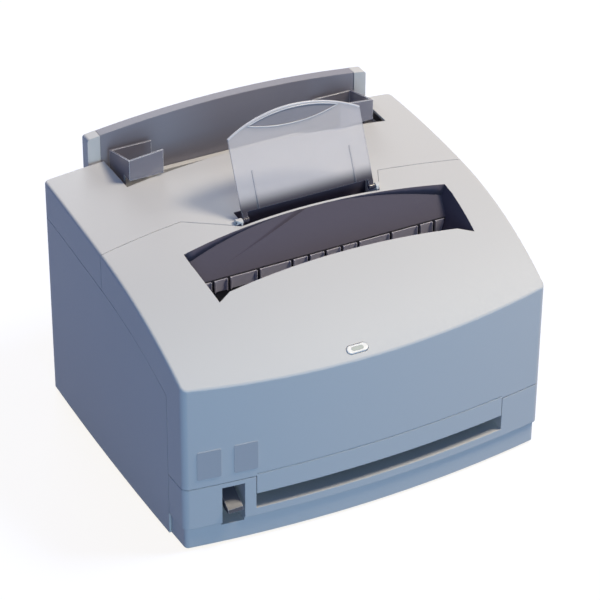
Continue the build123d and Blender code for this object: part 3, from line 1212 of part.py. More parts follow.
def selector_lever():
    """Thumb lever in the left post, on the left end of the selector shaft."""
    hub = (LEVER_AXIS_Y, LEVER_AXIS_Z)
    y, z = hub
    tip_y, tip_z = y - LEVER_REACH, z - LEVER_DROP
    body = prism_x([
        Line((y + 2, z + 4.2), (y - 8, z + 4.0)),
        ThreePointArc((y - 8, z + 4.0), (y - 18, z - 1.5), (tip_y + 0.5, tip_z + 3.5)),
        Line((tip_y + 0.5, tip_z + 3.5), (tip_y, tip_z)),
        ThreePointArc((tip_y, tip_z), (y - 16, z - 9.5), (y - 3, z - 3.5)),
        Line((y - 3, z - 3.5), (y + 2, z - 3.8)),
        Line((y + 2, z - 3.8), (y + 2, z + 4.2)),
    ], RECESS_X0 + 3.0, RECESS_X1 - 3.0)
    lever = body + rod(RECESS_X0 + 3.0, RECESS_X1 - 3.0, y, z, 4.6)
    return lever + selector_shaft()


def selector_shaft():
    """Shaft with the blade that sends the sheet up or straight out."""
    hub = (LEVER_AXIS_Y, LEVER_AXIS_Z)
    shaft = rod(RECESS_X0 - RECESS_WALL, POST_RIGHT_X + WALL, *hub, STUD_R)
    tip = swing(hub, BLADE_LEN, -BLADE_REST)
    fingers = []
    for d in (-102.0, -57.0, 0.0, 57.0, 102.0):
        x = PATH_X + d
        fingers.append(prism_x(loop(
            swing(hub, STUD_R + 1.0, 90.0), swing(hub, STUD_R + 1.0, 180.0), swing(hub, STUD_R, 270.0), tip,
            (tip[0], tip[1] + 0.8),
        ), x - 7.0, x + 7.0))
    return shaft + fingers


CHUTE_TOP_Z = REAR_HEIGHT - 12.1
CHUTE_LOW_Z = 126.0
CHUTE_BACK_Y = SUPPORT_FACE_Y - 6.0
LEDGE_Z = TROUGH_FLOOR_Z
FOOT_BAR_Y = 112.0
LIFT_TOP = (CHUTE_BACK_Y - 5.0, REAR_HEIGHT - 45.1)
LIFT_LOW = (121.8, 100.0)
LIFT_T = 2.0


def feeder_chute():
    """Walls round the stack of sheets, with the slots that the paper guides run in."""
    x0, x1 = FEED_LEFT_X, FEED_RIGHT_X
    front = box(x0 - WALL, x1 + WALL, CHUTE_Y - CHUTE_T, CHUTE_Y, CHUTE_LOW_Z, CHUTE_TOP_Z)
    back = box(x0 - WALL, x1 + WALL, CHUTE_BACK_Y, CHUTE_BACK_Y + CHUTE_T, PICKUP_Z - 6.0, LEDGE_Z)
    ledge = box(x0, x1, CHUTE_BACK_Y, SUPPORT_FACE_Y - SPLIT, LEDGE_Z - 2.0, LEDGE_Z)
    sides = [box(a, a + WALL, CHUTE_Y - CHUTE_T, CHUTE_BACK_Y + 1, PICKUP_Z + 20.0, CHUTE_TOP_Z) for a in (x0 - WALL, x1)]
    foot_z = FRAME_TOP_Z - 10.0
    feet = [box(a, b, FOOT_BAR_Y, FOOT_BAR_Y + 20.0, foot_z, foot_z + WALL)
            for a, b in ((FRAME_LEFT_IN, x0), (x1, FRAME_RIGHT_X))]
    chute = front + back + ledge + sides + feet
    slack = 0.5
    back_h = 1.25 * RACK_MODULE
    for side, a, b in ((1, GUIDE_LEFT_X - GUIDE_T - slack, GUIDE_LEFT_X + 12.0 + GUIDE_TRAVEL),
                       (-1, GUIDE_RIGHT_X - 12.0 - GUIDE_TRAVEL, GUIDE_RIGHT_X + GUIDE_T + slack)):
        low, high = sorted((PINION_Z + side * (PINION_R + back_h), PINION_Z + side * (PINION_R + back_h + RACK_H)))
        chute = chute - box(a, b, CHUTE_Y - CHUTE_T - 1, CHUTE_Y + 1, low - slack, high + slack)
    chute = chute - rod(-FAR, FAR, *LIFT_TOP, STUD_R + RUN)
    skirt_z = REAR_HEIGHT - BAND - 2.0
    ends = box(-FAR, FAR, GUIDE_NECK_Y, FAR, skirt_z, FAR) - box(x0, x1, -FAR, FAR, 0, FAR)
    chute = chute - (ends - plan(WALL + SPLIT, 0, FAR))
    stud = rod_y(GUIDE_MID_X, PINION_Z, STUD_R, RACK_Y0 - 1.0, CHUTE_Y - 1.0)
    return chute + stud


def lift_plate():
    """Plate that presses the stack against the pickup roller; it tips about its upper edge."""
    (y1, z1), (y0, z0) = LIFT_TOP, LIFT_LOW
    plate = prism_x(loop((y0, z0), (y0 + LIFT_T, z0), (y1 + LIFT_T / 2, z1), (y1 - LIFT_T / 2, z1)),
                    ROLL_X0 + 2, ROLL_X1 - 2)
    pin = rod(FEED_LEFT_X - WALL, FEED_RIGHT_X + WALL, y1, z1, STUD_R)
    return plate + pin


PAD_R = PICKUP_R + SHEET_GAP


def separation_pad():
    """Curved friction pad on its holder, close under the pickup roller."""
    return pad_sector(PAD_R, PAD_R + 1.0, 12.0)


def pad_sector(r0, r1, half):
    start, end = -50.0, -22.0
    mid = (start + end) / 2
    c = PICKUP_C
    return prism_x([
        ThreePointArc(swing(c, r0, start), swing(c, r0, mid), swing(c, r0, end)),
        Line(swing(c, r0, end), swing(c, r1, end)),
        ThreePointArc(swing(c, r1, end), swing(c, r1, mid), swing(c, r1, start)),
        Line(swing(c, r1, start), swing(c, r0, start)),
    ], PATH_X - half, PATH_X + half)


FEED_ARC_C = (70.0, 86.0)
FEED_ARC_R = 50.0
FEED_RIB_BACK_Y = 121.0


def feed_guide():
    """Curved plate that leads the sheet from the pickup roller down to the feed rollers."""
    c, r = FEED_ARC_C, FEED_ARC_R
    plate = prism_x([
        ThreePointArc(swing(c, r, 0.0), swing(c, r, -45.0), swing(c, r, -86.0)),
        Line(swing(c, r, -86.0), swing(c, r + 2.0, -86.0)),
        ThreePointArc(swing(c, r + 2.0, -86.0), swing(c, r + 2.0, -45.0), swing(c, r + 2.0, 0.0)),
        Line(swing(c, r + 2.0, 0.0), swing(c, r, 0.0)),
    ], ROLL_X0 - 6.0, ROLL_X1 + 6.0)
    ribs = [
        (box(x, x + 2.0, c[0] + 8.0, FEED_RIB_BACK_Y, WALL, c[1]) - rod(-FAR, FAR, *c, r + 1.0))
        for x in (ROLL_X0 - 6.0, PATH_X - 40.0, PATH_X + 40.0, ROLL_X1 + 4.0)
    ]
    pad_seat = pad_sector(PAD_R + 1.0, PAD_R + 1.0 + 2.4, 14.0)
    return plate + ribs + pad_seat


def transport_guide():
    """Flat paper plates between the rollers, on legs from the floor pan."""
    top = PAPER_Z - 1.2
    x0, x1 = ROLL_X0 - 3.0, ROLL_X1 + 3.0
    plates, legs = [], []
    for y0, y1 in ((REGISTER_Y - 34.0, REGISTER_Y - 7.5), (FUSER_BACK_Y + 1.5, DRUM_Y - 9.0)):
        plates.append(box(x0, x1, y0, y1, top - 1.5, top))
        legs += [box(a, a + 2.0, y0 + 2, y1 - 2, WALL, top) for a in (x0, x1 - 2.0)]
    ties = [box(a, a + 2.0, FUSER_BACK_Y + 1.5, REGISTER_Y - 7.5, WALL, WALL + 6.0) for a in (x0, x1 - 2.0)]
    guide = plates[0] + plates[1] + legs + ties
    ears = [box(a, a + 2.0, REGISTER_Y - 5.0, REGISTER_Y + 5.0, WALL, REGISTER_PINCH_C[1] + 5.0) for a in (x0 - 3.0, x1 + 1.0)]
    links = [box(a, a + 3.5, REGISTER_Y - 20.0, REGISTER_Y - 4.0, WALL, WALL + 6.0) for a in (x0 - 3.0, x1 - 0.5)]
    guide = guide + ears + links
    return guide - rod(-FAR, FAR, *REGISTER_PINCH_C, STUD_R + RUN) - rod(-FAR, FAR, *REGISTER_C, SHAFT_R + RUN)


def main_motor():
    """Drive motor on the outside of the left plate."""
    y, z = MOTOR_C
    can = rod(FRAME_LEFT_X - 22.0, FRAME_LEFT_X, y, z, 21.0) - rod(-FAR, FAR, y, z, 1.5 + RUN)
    plate = box(FRAME_LEFT_X - 2.0, FRAME_LEFT_X, y - 27.0, y + 27.0, z - 14.0, z + 14.0)
    return can + (plate - rod(-FAR, FAR, y, z, 1.5 + RUN))


def motor_pinion():
    return train_gear("motor", 0) + rod(FRAME_LEFT_X - 20.0, GEAR_X0, *MOTOR_C, 1.5)


BOARD_Z = 8.0
BOARD_T = 1.6


def power_board():
    """Mains and high-voltage board under the paper path, with its larger parts."""
    x0, x1, y0, y1 = SHEET_LEFT + 4.0, SHEET_RIGHT - 6.0, -26.0, 50.0
    top = BOARD_Z + BOARD_T
    board = box(x0, x1, y0, y1, BOARD_Z, top)
    stands = [box(a, a + 6, b, b + 6, WALL, BOARD_Z) for a in (x0 + 2, x1 - 8) for b in (y0 + 2, y1 - 8)]
    parts = [box(-80, -50, 0, 22, top, top + 9), box(-44, -20, -18, -2, top, top + 12),
             box(20, 60, -16, 16, top, top + 4), box(80, 104, -14, 8, top, top + 10)]
    parts += [Pos(-36 + i * 16, 38, top + 6) * Cylinder(6.0, 12.0) for i in range(3)]
    return board + stands + parts


def control_board():
    """Controller board on the outside of the right plate."""
    x0 = FRAME_RIGHT_OUT + 3.0
    board = box(x0, x0 + BOARD_T, -60.0, 100.0, 34.0, 128.0)
    stands = [rod(FRAME_RIGHT_OUT, x0, y, z, 3.0) for y in (-54.0, 94.0) for z in (40.0, 116.0)]
    chips = [box(x0 + BOARD_T, x0 + BOARD_T + 2.2, y, y + w, z, z + w)
             for y, z, w in ((-30, 70, 30), (16, 76, 24), (60, 60, 18), (60, 92, 18), (-30, 44, 14))]
    return board + stands + chips


def mains_inlet():
    """Three-pin appliance inlet in the back wall."""
    y1 = back_y(abs(INLET_X) - INLET_W / 2 - 3.0)
    x0, x1 = INLET_X - INLET_W / 2, INLET_X + INLET_W / 2
    z0, z1 = INLET_Z - INLET_H / 2, INLET_Z + INLET_H / 2
    body = box(x0 + 0.1, x1 - 0.1, y1 - 24.0, y1 + 2.0, z0 + 0.1, z1 - 0.1)
    flange = box(x0 - 3, x1 + 3, y1, y1 + 2.0, z0 - 3, z1 + 3)
    hollow = prism_y(loop((x0 + 2, z0 + 2), (x1 - 2, z0 + 2), (x1 - 2, z1 - 6), (x1 - 6, z1 - 2), (x0 + 6, z1 - 2),
                          (x0 + 2, z1 - 6)), y1 - 14.0, y1 + 3)
    pins = [box(INLET_X + dx - 1, INLET_X + dx + 1, y1 - 15.0, y1 - 5.0, INLET_Z + dz - 2.5, INLET_Z + dz + 2.5)
            for dx, dz in ((-7.0, -2.0), (0.0, 3.0), (7.0, -2.0))]
    foot = box(x0 + 4, x1 - 4, y1 - 22.0, y1 - 14.0, WALL, z0 + 1)
    return body + flange - hollow + pins + foot


def data_port():
    """Data socket in the back wall, with a contact tongue and two side clips."""
    y1 = back_y(PORT_X - PORT_W / 2) + 0.5
    x0, x1 = PORT_X - PORT_W / 2, PORT_X + PORT_W / 2
    z0, z1 = PORT_Z - PORT_H / 2, PORT_Z + PORT_H / 2
    body = box(x0 + 0.1, x1 - 0.1, y1 - 22.0, y1, z0 + 0.1, z1 - 0.1)
    hollow = box(x0 + 7, x1 - 7, y1 - 9.0, y1 + 1, z0 + 2, z1 - 2)
    tongue = box(x0 + 10, x1 - 10, y1 - 10.0, y1 - 1.5, PORT_Z - 1.6, PORT_Z + 1.6)
    foot = box(x0 + 8, x1 - 8, y1 - 20.0, y1 - 10.0, WALL, z0 + 1)
    clips = [box(a, a + 3, y1 - 1, y1 + 2.5, z0 + 4, z1 - 4) for a in (x0 + 2, x1 - 5)]
    return body - hollow + tongue + foot + clips


def control_button():
    """Oval push button on the front of the top."""
    cap = oval(BUTTON_L, BUTTON_W, -6.0, 1.0)
    cap = fillet(cap.edges().group_by(Axis.Z)[-1], 0.8)
    window = oval(BUTTON_L - 9.0, BUTTON_W - 4.5, -1.0, 3.0)
    stem = Pos(0, 0, -7.0) * Cylinder(2.0, 2.4)
    return on_brow(BUTTON_Y) * (cap + stem - window)


def button_lens():
    """Lamp window set in the button."""
    return on_brow(BUTTON_Y) * oval(BUTTON_L - 9.2, BUTTON_W - 4.7, -1.0, 1.1)


def panel_board():
    """Small board under the button, with the switch and a bracket up to the cover's skin."""
    board = Pos(0, 1.0, -12.0) * Box(44.0, 16.0, 1.6)
    switch = Pos(0, 0, -11.2 + 0.85) * Box(6.0, 6.0, 1.7)
    posts = [Pos(sx * 18.0, 2.0, -6.5) * Box(4.0, 6.0, 11.0) for sx in (-1, 1)]
    return on_brow(BUTTON_Y) * (board + switch + posts) & INNER


def place(shape):
    """Move a piece from the casing's frame to the part's own origin."""
    pieces = shape if isinstance(shape, (list, tuple)) else [shape]
    moved = [Pos(0, -ORIGIN_Y, FOOT_H) * p for p in pieces]
    return moved[0] if len(moved) == 1 else Compound(moved)


NODES = {
    "base_casing": base_casing,
    "left_side_panel": lambda: side_panel(-1),
    "right_side_panel": lambda: side_panel(1),
    "rear_panel": rear_panel,
    "top_rear_cover": top_rear_cover,
    "front_cover": front_cover,
    "paper_support": paper_support,
    "support_extension": support_extension,
    "output_flap": output_flap,
    "left_paper_guide": lambda: paper_guide(-1),
    "right_paper_guide": lambda: paper_guide(1),
    "guide_pinion": guide_pinion,
    "feeder_chute": feeder_chute,
    "lift_plate": lift_plate,
    "pickup_roller": pickup_roller,
    "separation_pad": separation_pad,
    "feed_guide": feed_guide,
    "transport_guide": transport_guide,
    "registration_roller": registration_roller,
    "registration_pinch_rollers": registration_pinch,
    "transfer_roller": transfer_roller,
    "toner_cartridge": toner_cartridge,
    "photo_drum": photo_drum,
    "developer_roller": developer_roller,
    "charge_roller": charge_roller,
    "scanner_housing": scanner_housing,
    "scanner_cover": scanner_cover,
    "polygon_mirror": polygon_mirror,
    "scanner_optics": scanner_optics,
    "fuser_frame": fuser_frame,
    "fuser_film": fuser_film,
    "fuser_heater": fuser_heater,
    "pressure_roller": pressure_roller,
    "fuser_cover": fuser_cover,
    "exit_roller": exit_roller,
    "exit_pinch_rollers": exit_pinch,
    "delivery_guide": delivery_guide,
    "delivery_roller": delivery_roller,
    "delivery_pinch_rollers": delivery_pinch,
    "selector_lever": selector_lever,
    "left_frame": left_frame,
    "right_frame": right_frame,
    "main_motor": main_motor,
    "motor_pinion": motor_pinion,
    "power_board": power_board,
    "control_board": control_board,
    "mains_inlet": mains_inlet,
    "data_port": data_port,
    "control_button": control_button,
    "button_lens": button_lens,
    "panel_board": panel_board,
    "rubber_feet": rubber_feet,
    "casing_screws": casing_screws,
}
for gear_name in IDLERS:
    NODES[gear_name + "_gear"] = lambda name=gear_name: idler_gear(name)

os.makedirs("parts", exist_ok=True)
for node, make in NODES.items():
    export_step(place(make()), "parts/" + node + ".step")
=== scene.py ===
# Laser printer with a rear sheet feeder, a hinged front cover and a fold-up output flap,
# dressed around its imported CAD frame. Everything is in metres, in the frame's own axes.
import json
import math

import bmesh
import bpy
from mathutils import Matrix, Vector


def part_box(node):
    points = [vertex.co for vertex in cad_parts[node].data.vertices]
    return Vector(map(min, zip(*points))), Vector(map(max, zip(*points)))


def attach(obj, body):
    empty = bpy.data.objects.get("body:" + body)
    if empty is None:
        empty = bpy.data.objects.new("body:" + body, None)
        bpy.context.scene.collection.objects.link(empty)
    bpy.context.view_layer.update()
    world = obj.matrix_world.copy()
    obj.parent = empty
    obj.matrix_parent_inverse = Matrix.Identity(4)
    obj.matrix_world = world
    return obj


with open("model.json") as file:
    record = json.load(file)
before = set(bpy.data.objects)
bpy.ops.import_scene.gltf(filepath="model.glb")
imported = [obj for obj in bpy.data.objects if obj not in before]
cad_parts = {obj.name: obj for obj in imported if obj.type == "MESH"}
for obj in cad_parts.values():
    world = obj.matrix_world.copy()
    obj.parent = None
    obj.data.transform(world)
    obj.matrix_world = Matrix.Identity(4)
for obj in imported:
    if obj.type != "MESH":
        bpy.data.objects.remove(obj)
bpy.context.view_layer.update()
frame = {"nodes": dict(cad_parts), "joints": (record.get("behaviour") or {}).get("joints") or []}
nodes = frame["nodes"]


# Casing shell
# The floor pan, side walls, back wall, covers and paper support are injection-moulded ABS, a light
# warm grey with a fine spark-eroded grain, screwed and clipped together. Their edges are painted a
# little lighter, partly for rubbing from handling and partly as a painted sheen.
def feed(tree, node, values):
    """Links a node's inputs to outputs of other nodes, or writes plain values into them."""
    for name, value in values.items():
        socket = node.inputs[name]
        if isinstance(value, bpy.types.NodeSocket):
            tree.links.new(value, socket)
        elif socket.type == "RGBA":
            socket.default_value = (*value, 1)
        else:
            socket.default_value = value


def add_node(tree, kind, values, **settings):
    """Adds a node with its settings, feeds its inputs and gives back its outputs."""
    node = tree.nodes.new(kind)
    for setting, value in settings.items():
        setattr(node, setting, value)
    feed(tree, node, values)
    return node.outputs


def mixed(tree, factor, a, b, kind="RGBA"):
    return add_node(tree, "ShaderNodeMix", {"Factor": factor, "A": a, "B": b}, data_type=kind)["Result"]


def remapped(tree, value, low, high, start=0.0, end=1.0, curve="LINEAR"):
    """Brings a value that runs from start to end into the span from low to high."""
    values = {"Value": value, "From Min": start, "From Max": end, "To Min": low, "To Max": high}
    return add_node(tree, "ShaderNodeMapRange", values, interpolation_type=curve)["Result"]


def object_place(tree):
    return add_node(tree, "ShaderNodeTexCoord", {})["Object"]


def noise(tree, place, scale, detail):
    values = {"Vector": place, "Scale": scale, "Detail": detail}
    return add_node(tree, "ShaderNodeTexNoise", values)["Fac"]


def start_group(name, inputs, outputs):
    """A node group with its sockets: inputs by name, kind and default, outputs by name and kind."""
    group = bpy.data.node_groups.new(name, "ShaderNodeTree")
    for title, kind, default in inputs:
        socket = group.interface.new_socket(name=title, in_out="INPUT", socket_type="NodeSocket" + kind)
        if default is not None:
            socket.default_value = default
    for title, kind in outputs:
        group.interface.new_socket(name=title, in_out="OUTPUT", socket_type="NodeSocket" + kind)
    return group, group.nodes.new("NodeGroupInput").outputs, group.nodes.new("NodeGroupOutput")


def build_grain_group():
    """Moulded grain: a slow colour drift, small clouds of roughness and a fine height."""
    group, given, result = start_group(
        "moulded grain",
        (("Vector", "Vector", None), ("Tone", "Color", (0.7, 0.7, 0.7, 1)),
         ("Drift", "Color", (0.65, 0.65, 0.62, 1)), ("Grain per metre", "Float", 1800.0),
         ("Roughness low", "Float", 0.42), ("Roughness high", "Float", 0.56)),
        (("Color", "Color"), ("Roughness", "Float"), ("Height", "Float")))
    place = given["Vector"]
    drift = noise(group, place, scale=7.0, detail=2.0)
    cloud = noise(group, place, scale=420.0, detail=4.0)
    feed(group, result, {
        "Color": mixed(group, drift, given["Tone"], given["Drift"]),
        "Roughness": remapped(group, cloud, given["Roughness low"], given["Roughness high"],
                              start=0.2, end=0.8),
        "Height": noise(group, place, scale=given["Grain per metre"], detail=3.0)})
    return group


def build_edge_group():
    """Edge mask for rubbing and painted light: rises from 0 on a flat face to Most where the softened
    normal leans past Sharp.
    """
    group, given, result = start_group(
        "edge rubbing and light",
        (("Soft normal", "Vector", None), ("Flat", "Float", 0.999), ("Sharp", "Float", 0.8),
         ("Most", "Float", 1.0)),
        (("Mask", "Float"),))
    hard = add_node(group, "ShaderNodeNewGeometry", {})["Normal"]
    bend = add_node(group, "ShaderNodeVectorMath", {0: given["Soft normal"], 1: hard},
                    operation="DOT_PRODUCT")["Value"]
    feed(group, result, {"Mask": remapped(group, bend, low=0.0, high=given["Most"],
                                          start=given["Flat"], end=given["Sharp"])})
    return group


moulded_grain = build_grain_group()
edge_rubbing_and_light = build_edge_group()


def start_material(name):
    """A new material with its node tree and its shader."""
    material = bpy.data.materials.new(name)
    material.use_nodes = True
    return material, material.node_tree, material.node_tree.nodes["Principled BSDF"]


def soft_normal(tree, radius, samples):
    return add_node(tree, "ShaderNodeBevel", {"Radius": radius}, samples=samples)["Normal"]


def edge_mask(tree, soft, flat, sharp, most):
    values = {"Soft normal": soft, "Flat": flat, "Sharp": sharp, "Most": most}
    return add_node(tree, "ShaderNodeGroup", values, node_tree=edge_rubbing_and_light)["Mask"]


def plastic(name, tone, drift, rubbed_and_lit_tone=None, grain=1800.0, grain_depth=0.00002, rough=(0.42, 0.56),
            edge=0.0007, rubbing_and_sheen=0.35, specular=0.5):
    """A moulded plastic: the grain group, softened edges, and edges lightened towards a given tone, for
    rubbing and for painted sheen.
    """
    material, tree, shader = start_material(name)
    values = {"Vector": object_place(tree), "Tone": tone, "Drift": drift, "Grain per metre": grain,
              "Roughness low": rough[0], "Roughness high": rough[1]}
    surface = add_node(tree, "ShaderNodeGroup", values, node_tree=moulded_grain)
    soft = soft_normal(tree, edge, samples=4)
    color = surface["Color"]
    # Lighter edges: partly rubbing, partly a painted sheen and highlight.
    if rubbed_and_lit_tone:
        color = mixed(tree, edge_mask(tree, soft, flat=0.999, sharp=0.80, most=rubbing_and_sheen), color, rubbed_and_lit_tone)
    grained = {"Height": surface["Height"], "Strength": 0.5, "Distance": grain_depth, "Normal": soft}
    feed(tree, shader, {
        "Base Color": color,
        "Roughness": surface["Roughness"],
        "Normal": add_node(tree, "ShaderNodeBump", grained)["Normal"],
        "Specular IOR Level": specular})
    return material


def dress(material, *names):
    """Gives CAD nodes a material in place of the plain one they were packed with."""
    for name in names:
        slots = nodes[name].data.materials
        slots.clear()
        slots.append(material)


# Its lighter edges are partly rubbing and partly a painted sheen.
shell_plastic = plastic("casing plastic", (0.64, 0.625, 0.61), (0.615, 0.605, 0.595),
                        rubbed_and_lit_tone=(0.76, 0.75, 0.74), specular=0.2)
dress(shell_plastic, "base_casing", "left_side_panel", "right_side_panel", "rear_panel", "top_rear_cover",
      "front_cover", "paper_support")


# Output bin
# The bin's ramp is a darker, purple-grey moulding set into the front cover, and the same grey on its side
# walls and rear rim is painted shade in the recess. A slotted comb stands at the ramp's foot, its rims
# painted pale as highlights, over the throat that the sheets come up through, whose wall is painted
# near black as shade.
RAMP_FOOT, RAMP_HEAD = (-0.03255, 0.186), (-0.00105, 0.21112)
BIN_LOW, BIN_HIGH, BIN_MIDDLE_X = (-0.112, -0.0795, 0.16), (0.144, 0.0, 0.2125), 0.016
RIM_FRONT_Y, RIM_LOW_Z = -0.025, 0.187
DROP_LOW_Z, DROP_HIGH_Z = 0.158, 0.187
ON_FACE = 0.0002
RAMP_FACING, SIDE_FACING, RIM_FACING, DROP_FACING = 0.95, 0.5, 0.7, 0.9
LINING_THICKNESS, LINING_PROUD, LINING_FOLD = 0.0004, 0.00012, 0.3
ramp_normal = Vector((0, RAMP_FOOT[1] - RAMP_HEAD[1], RAMP_HEAD[0] - RAMP_FOOT[0])).normalized()


def place_piece(name, shape, body, material):
    """Puts a mesh or a curve into the scene as a piece that rides on a body."""
    shape.materials.append(material)
    piece = bpy.data.objects.new(name, shape)
    bpy.context.scene.collection.objects.link(piece)
    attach(piece, body)
    return piece


def finish_piece(name, form, body, material):
    """Turns a bmesh form into a mesh piece."""
    mesh = bpy.data.meshes.new(name)
    form.to_mesh(mesh)
    form.free()
    return place_piece(name, mesh, body, material)


def soften(piece, width):
    rounding = piece.modifiers.new("softened edges", "BEVEL")
    rounding.width, rounding.segments = width, 3
    rounding.limit_method = "ANGLE"


def lining(name, node, body, keep, material):
    """A thin skin over the faces of a CAD node that keep picks by their middle and normal."""
    form = bmesh.new()
    form.from_mesh(nodes[node].data)
    form.normal_update()
    away = [face for face in form.faces if not keep(face.calc_center_median(), face.normal)]
    bmesh.ops.delete(form, geom=away, context="FACES")
    folds = [edge for edge in form.edges
             if len(edge.link_faces) == 2 and edge.calc_face_angle(0.0) > LINING_FOLD]
    bmesh.ops.split_edges(form, edges=folds)
    form.normal_update()
    for vert in form.verts:
        vert.co += vert.normal * LINING_PROUD
    skin = finish_piece(name, form, body, material).modifiers.new("thickness", "SOLIDIFY")
    skin.thickness, skin.offset = LINING_THICKNESS, -1.0


def on_ramp(middle, normal):
    height = (Vector((0, middle.y, middle.z)) - Vector((0, *RAMP_FOOT))).dot(ramp_normal)
    return abs(height) < ON_FACE and normal.dot(ramp_normal) > RAMP_FACING


def in_bin_sides(middle, normal):
    inside = all(low < place < high for low, place, high in zip(BIN_LOW, middle, BIN_HIGH))
    facing_in = abs(normal.x) > SIDE_FACING and normal.x * (middle.x - BIN_MIDDLE_X) < 0
    rear_rim = middle.y > RIM_FRONT_Y and normal.y < -RIM_FACING and middle.z > RIM_LOW_Z
    return on_ramp(middle, normal) or (inside and (facing_in or rear_rim))


def on_drop(middle, normal):
    on_wall = abs(middle.y - RAMP_FOOT[0]) < ON_FACE and normal.y < -DROP_FACING
    return on_wall and DROP_LOW_Z < middle.z < DROP_HIGH_Z


# Dark purple-grey: the ramp's own moulding, and painted shade on the bin's walls and rim and in the flap
# trough.
bin_grey_and_shade = plastic("bin grey and painted shade", (0.072, 0.064, 0.095), (0.064, 0.057, 0.086), rubbed_and_lit_tone=(0.22, 0.21, 0.26),
                   rough=(0.58, 0.66), specular=0.2)
# Near black painted shade on the throat wall, seen through the comb's slots.
throat_painted_shade = plastic("throat painted shade", (0.03, 0.028, 0.04), (0.024, 0.022, 0.034), rough=(0.5, 0.6))
# The comb's pale rims are painted highlights.
comb_grey_with_highlights = plastic("comb grey with painted highlights", (0.56, 0.53, 0.60), (0.50, 0.475, 0.545), rubbed_and_lit_tone=(0.86, 0.85, 0.88),
                    rubbing_and_sheen=0.9, edge=0.0005, rough=(0.36, 0.48))
lining("bin_lining", "front_cover", "front_cover", in_bin_sides, bin_grey_and_shade)
lining("bin_throat_shade", "front_cover", "front_cover", on_drop, throat_painted_shade)

COMB_HALF, COMB_SLOTS = 0.1175, (0.0, 0.016, 0.032, 0.064, 0.092, 0.107)
COMB_FRONT_Y, COMB_LOW_Z, COMB_HIGH_Z = RAMP_FOOT[0] - 0.0009, RAMP_FOOT[1] - 0.0125, RAMP_FOOT[1] - 0.0014
SLOT_HALF, PLATE_DEPTH, NARROWEST_PLATE = 0.0018, 0.0008, 0.002
RIB_OFF, RIB_HALF, RIB_FRONT, RIB_BACK, RIB_ABOVE = 0.0019, 0.0004, 0.0016, 0.0006, 0.0003
COMB_SOFTENING = 0.0002


def add_block(form, x0, x1, y0, y1, z0, z1):
    """Adds a box that spans two places on each axis."""
    for vert in bmesh.ops.create_cube(form, size=1.0)["verts"]:
        vert.co = Vector(((x0 + x1) / 2 + vert.co.x * (x1 - x0), (y0 + y1) / 2 + vert.co.y * (y1 - y0),
                          (z0 + z1) / 2 + vert.co.z * (z1 - z0)))


def build_comb():
    """Plates between the slots, with a thin rib at each side of a slot."""
    form = bmesh.new()
    slots = sorted({BIN_MIDDLE_X + side * off for off in COMB_SLOTS for side in (-1, 1)})
    start = BIN_MIDDLE_X - COMB_HALF
    for slot in slots + [BIN_MIDDLE_X + COMB_HALF + SLOT_HALF]:
        if slot - SLOT_HALF - start > NARROWEST_PLATE:
            add_block(form, start, slot - SLOT_HALF, COMB_FRONT_Y, COMB_FRONT_Y + PLATE_DEPTH,
                      COMB_LOW_Z, COMB_HIGH_Z)
        start = slot + SLOT_HALF
    for slot in slots:
        for rib in (slot - RIB_OFF, slot + RIB_OFF):
            add_block(form, rib - RIB_HALF, rib + RIB_HALF, COMB_FRONT_Y - RIB_FRONT,
                      COMB_FRONT_Y + RIB_BACK, COMB_LOW_Z, COMB_HIGH_Z + RIB_ABOVE)
    soften(finish_piece("bin_comb", form, "front_cover", comb_grey_with_highlights), COMB_SOFTENING)


build_comb()


# Flap trough
# The narrow trough behind the bin's rear rim, moulded into the top cover, that the flap's pivots
# stand in. Its floor and walls are lined in the bin's dark grey as painted shade.
TROUGH_FRONT_Y, TROUGH_BACK_Y = -0.012, 0.0178
TROUGH_LOW_Z, TROUGH_HIGH_Z = 0.190, 0.2112
TROUGH_MARGIN, WALL_FACING, FLOOR_FACING = 0.001, 0.6, 0.8
flap_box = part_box("output_flap")


def in_trough(middle, normal):
    across = flap_box[0][0] - TROUGH_MARGIN < middle.x < flap_box[1][0] + TROUGH_MARGIN
    within = TROUGH_FRONT_Y < middle.y < TROUGH_BACK_Y and TROUGH_LOW_Z < middle.z < TROUGH_HIGH_Z
    return across and within and (normal.y < -WALL_FACING or normal.z > FLOOR_FACING)


# The trough's dark lining is painted shade.
lining("trough_shade_lining", "top_rear_cover", "casing", in_trough, bin_grey_and_shade)


# Blank plates on the front
# Two thin metal foil plates with rounded corners, punched and glued low on the left of the front
# cover. They lie against its bow and carry nothing.
FRONT_BULGE, FRONT_HALF, FRONT_SIDE_Y = 0.0139, 0.172, -0.14055
FOIL_LOW_Z, FOIL_HIGH_Z, FOIL_HALF, FOIL_CORNER = 0.073, 0.101, 0.0105, 0.0016
FOIL_SUNK, FOIL_THICKNESS, FOIL_SOFTENING = 0.0002, 0.00065, 0.00012
FOIL_MIDDLES_X = {"left_badge_plate": -0.150, "right_badge_plate": -0.118}
CORNER_STEPS = 4


def closed_plate(outline, push):
    """A closed plate between a flat outline and the same outline moved by push."""
    form = bmesh.new()
    face = form.faces.new([form.verts.new(place) for place in outline])
    for item in bmesh.ops.extrude_face_region(form, geom=[face])["geom"]:
        if isinstance(item, bmesh.types.BMVert):
            item.co += push
    bmesh.ops.recalc_face_normals(form, faces=form.faces)
    return form


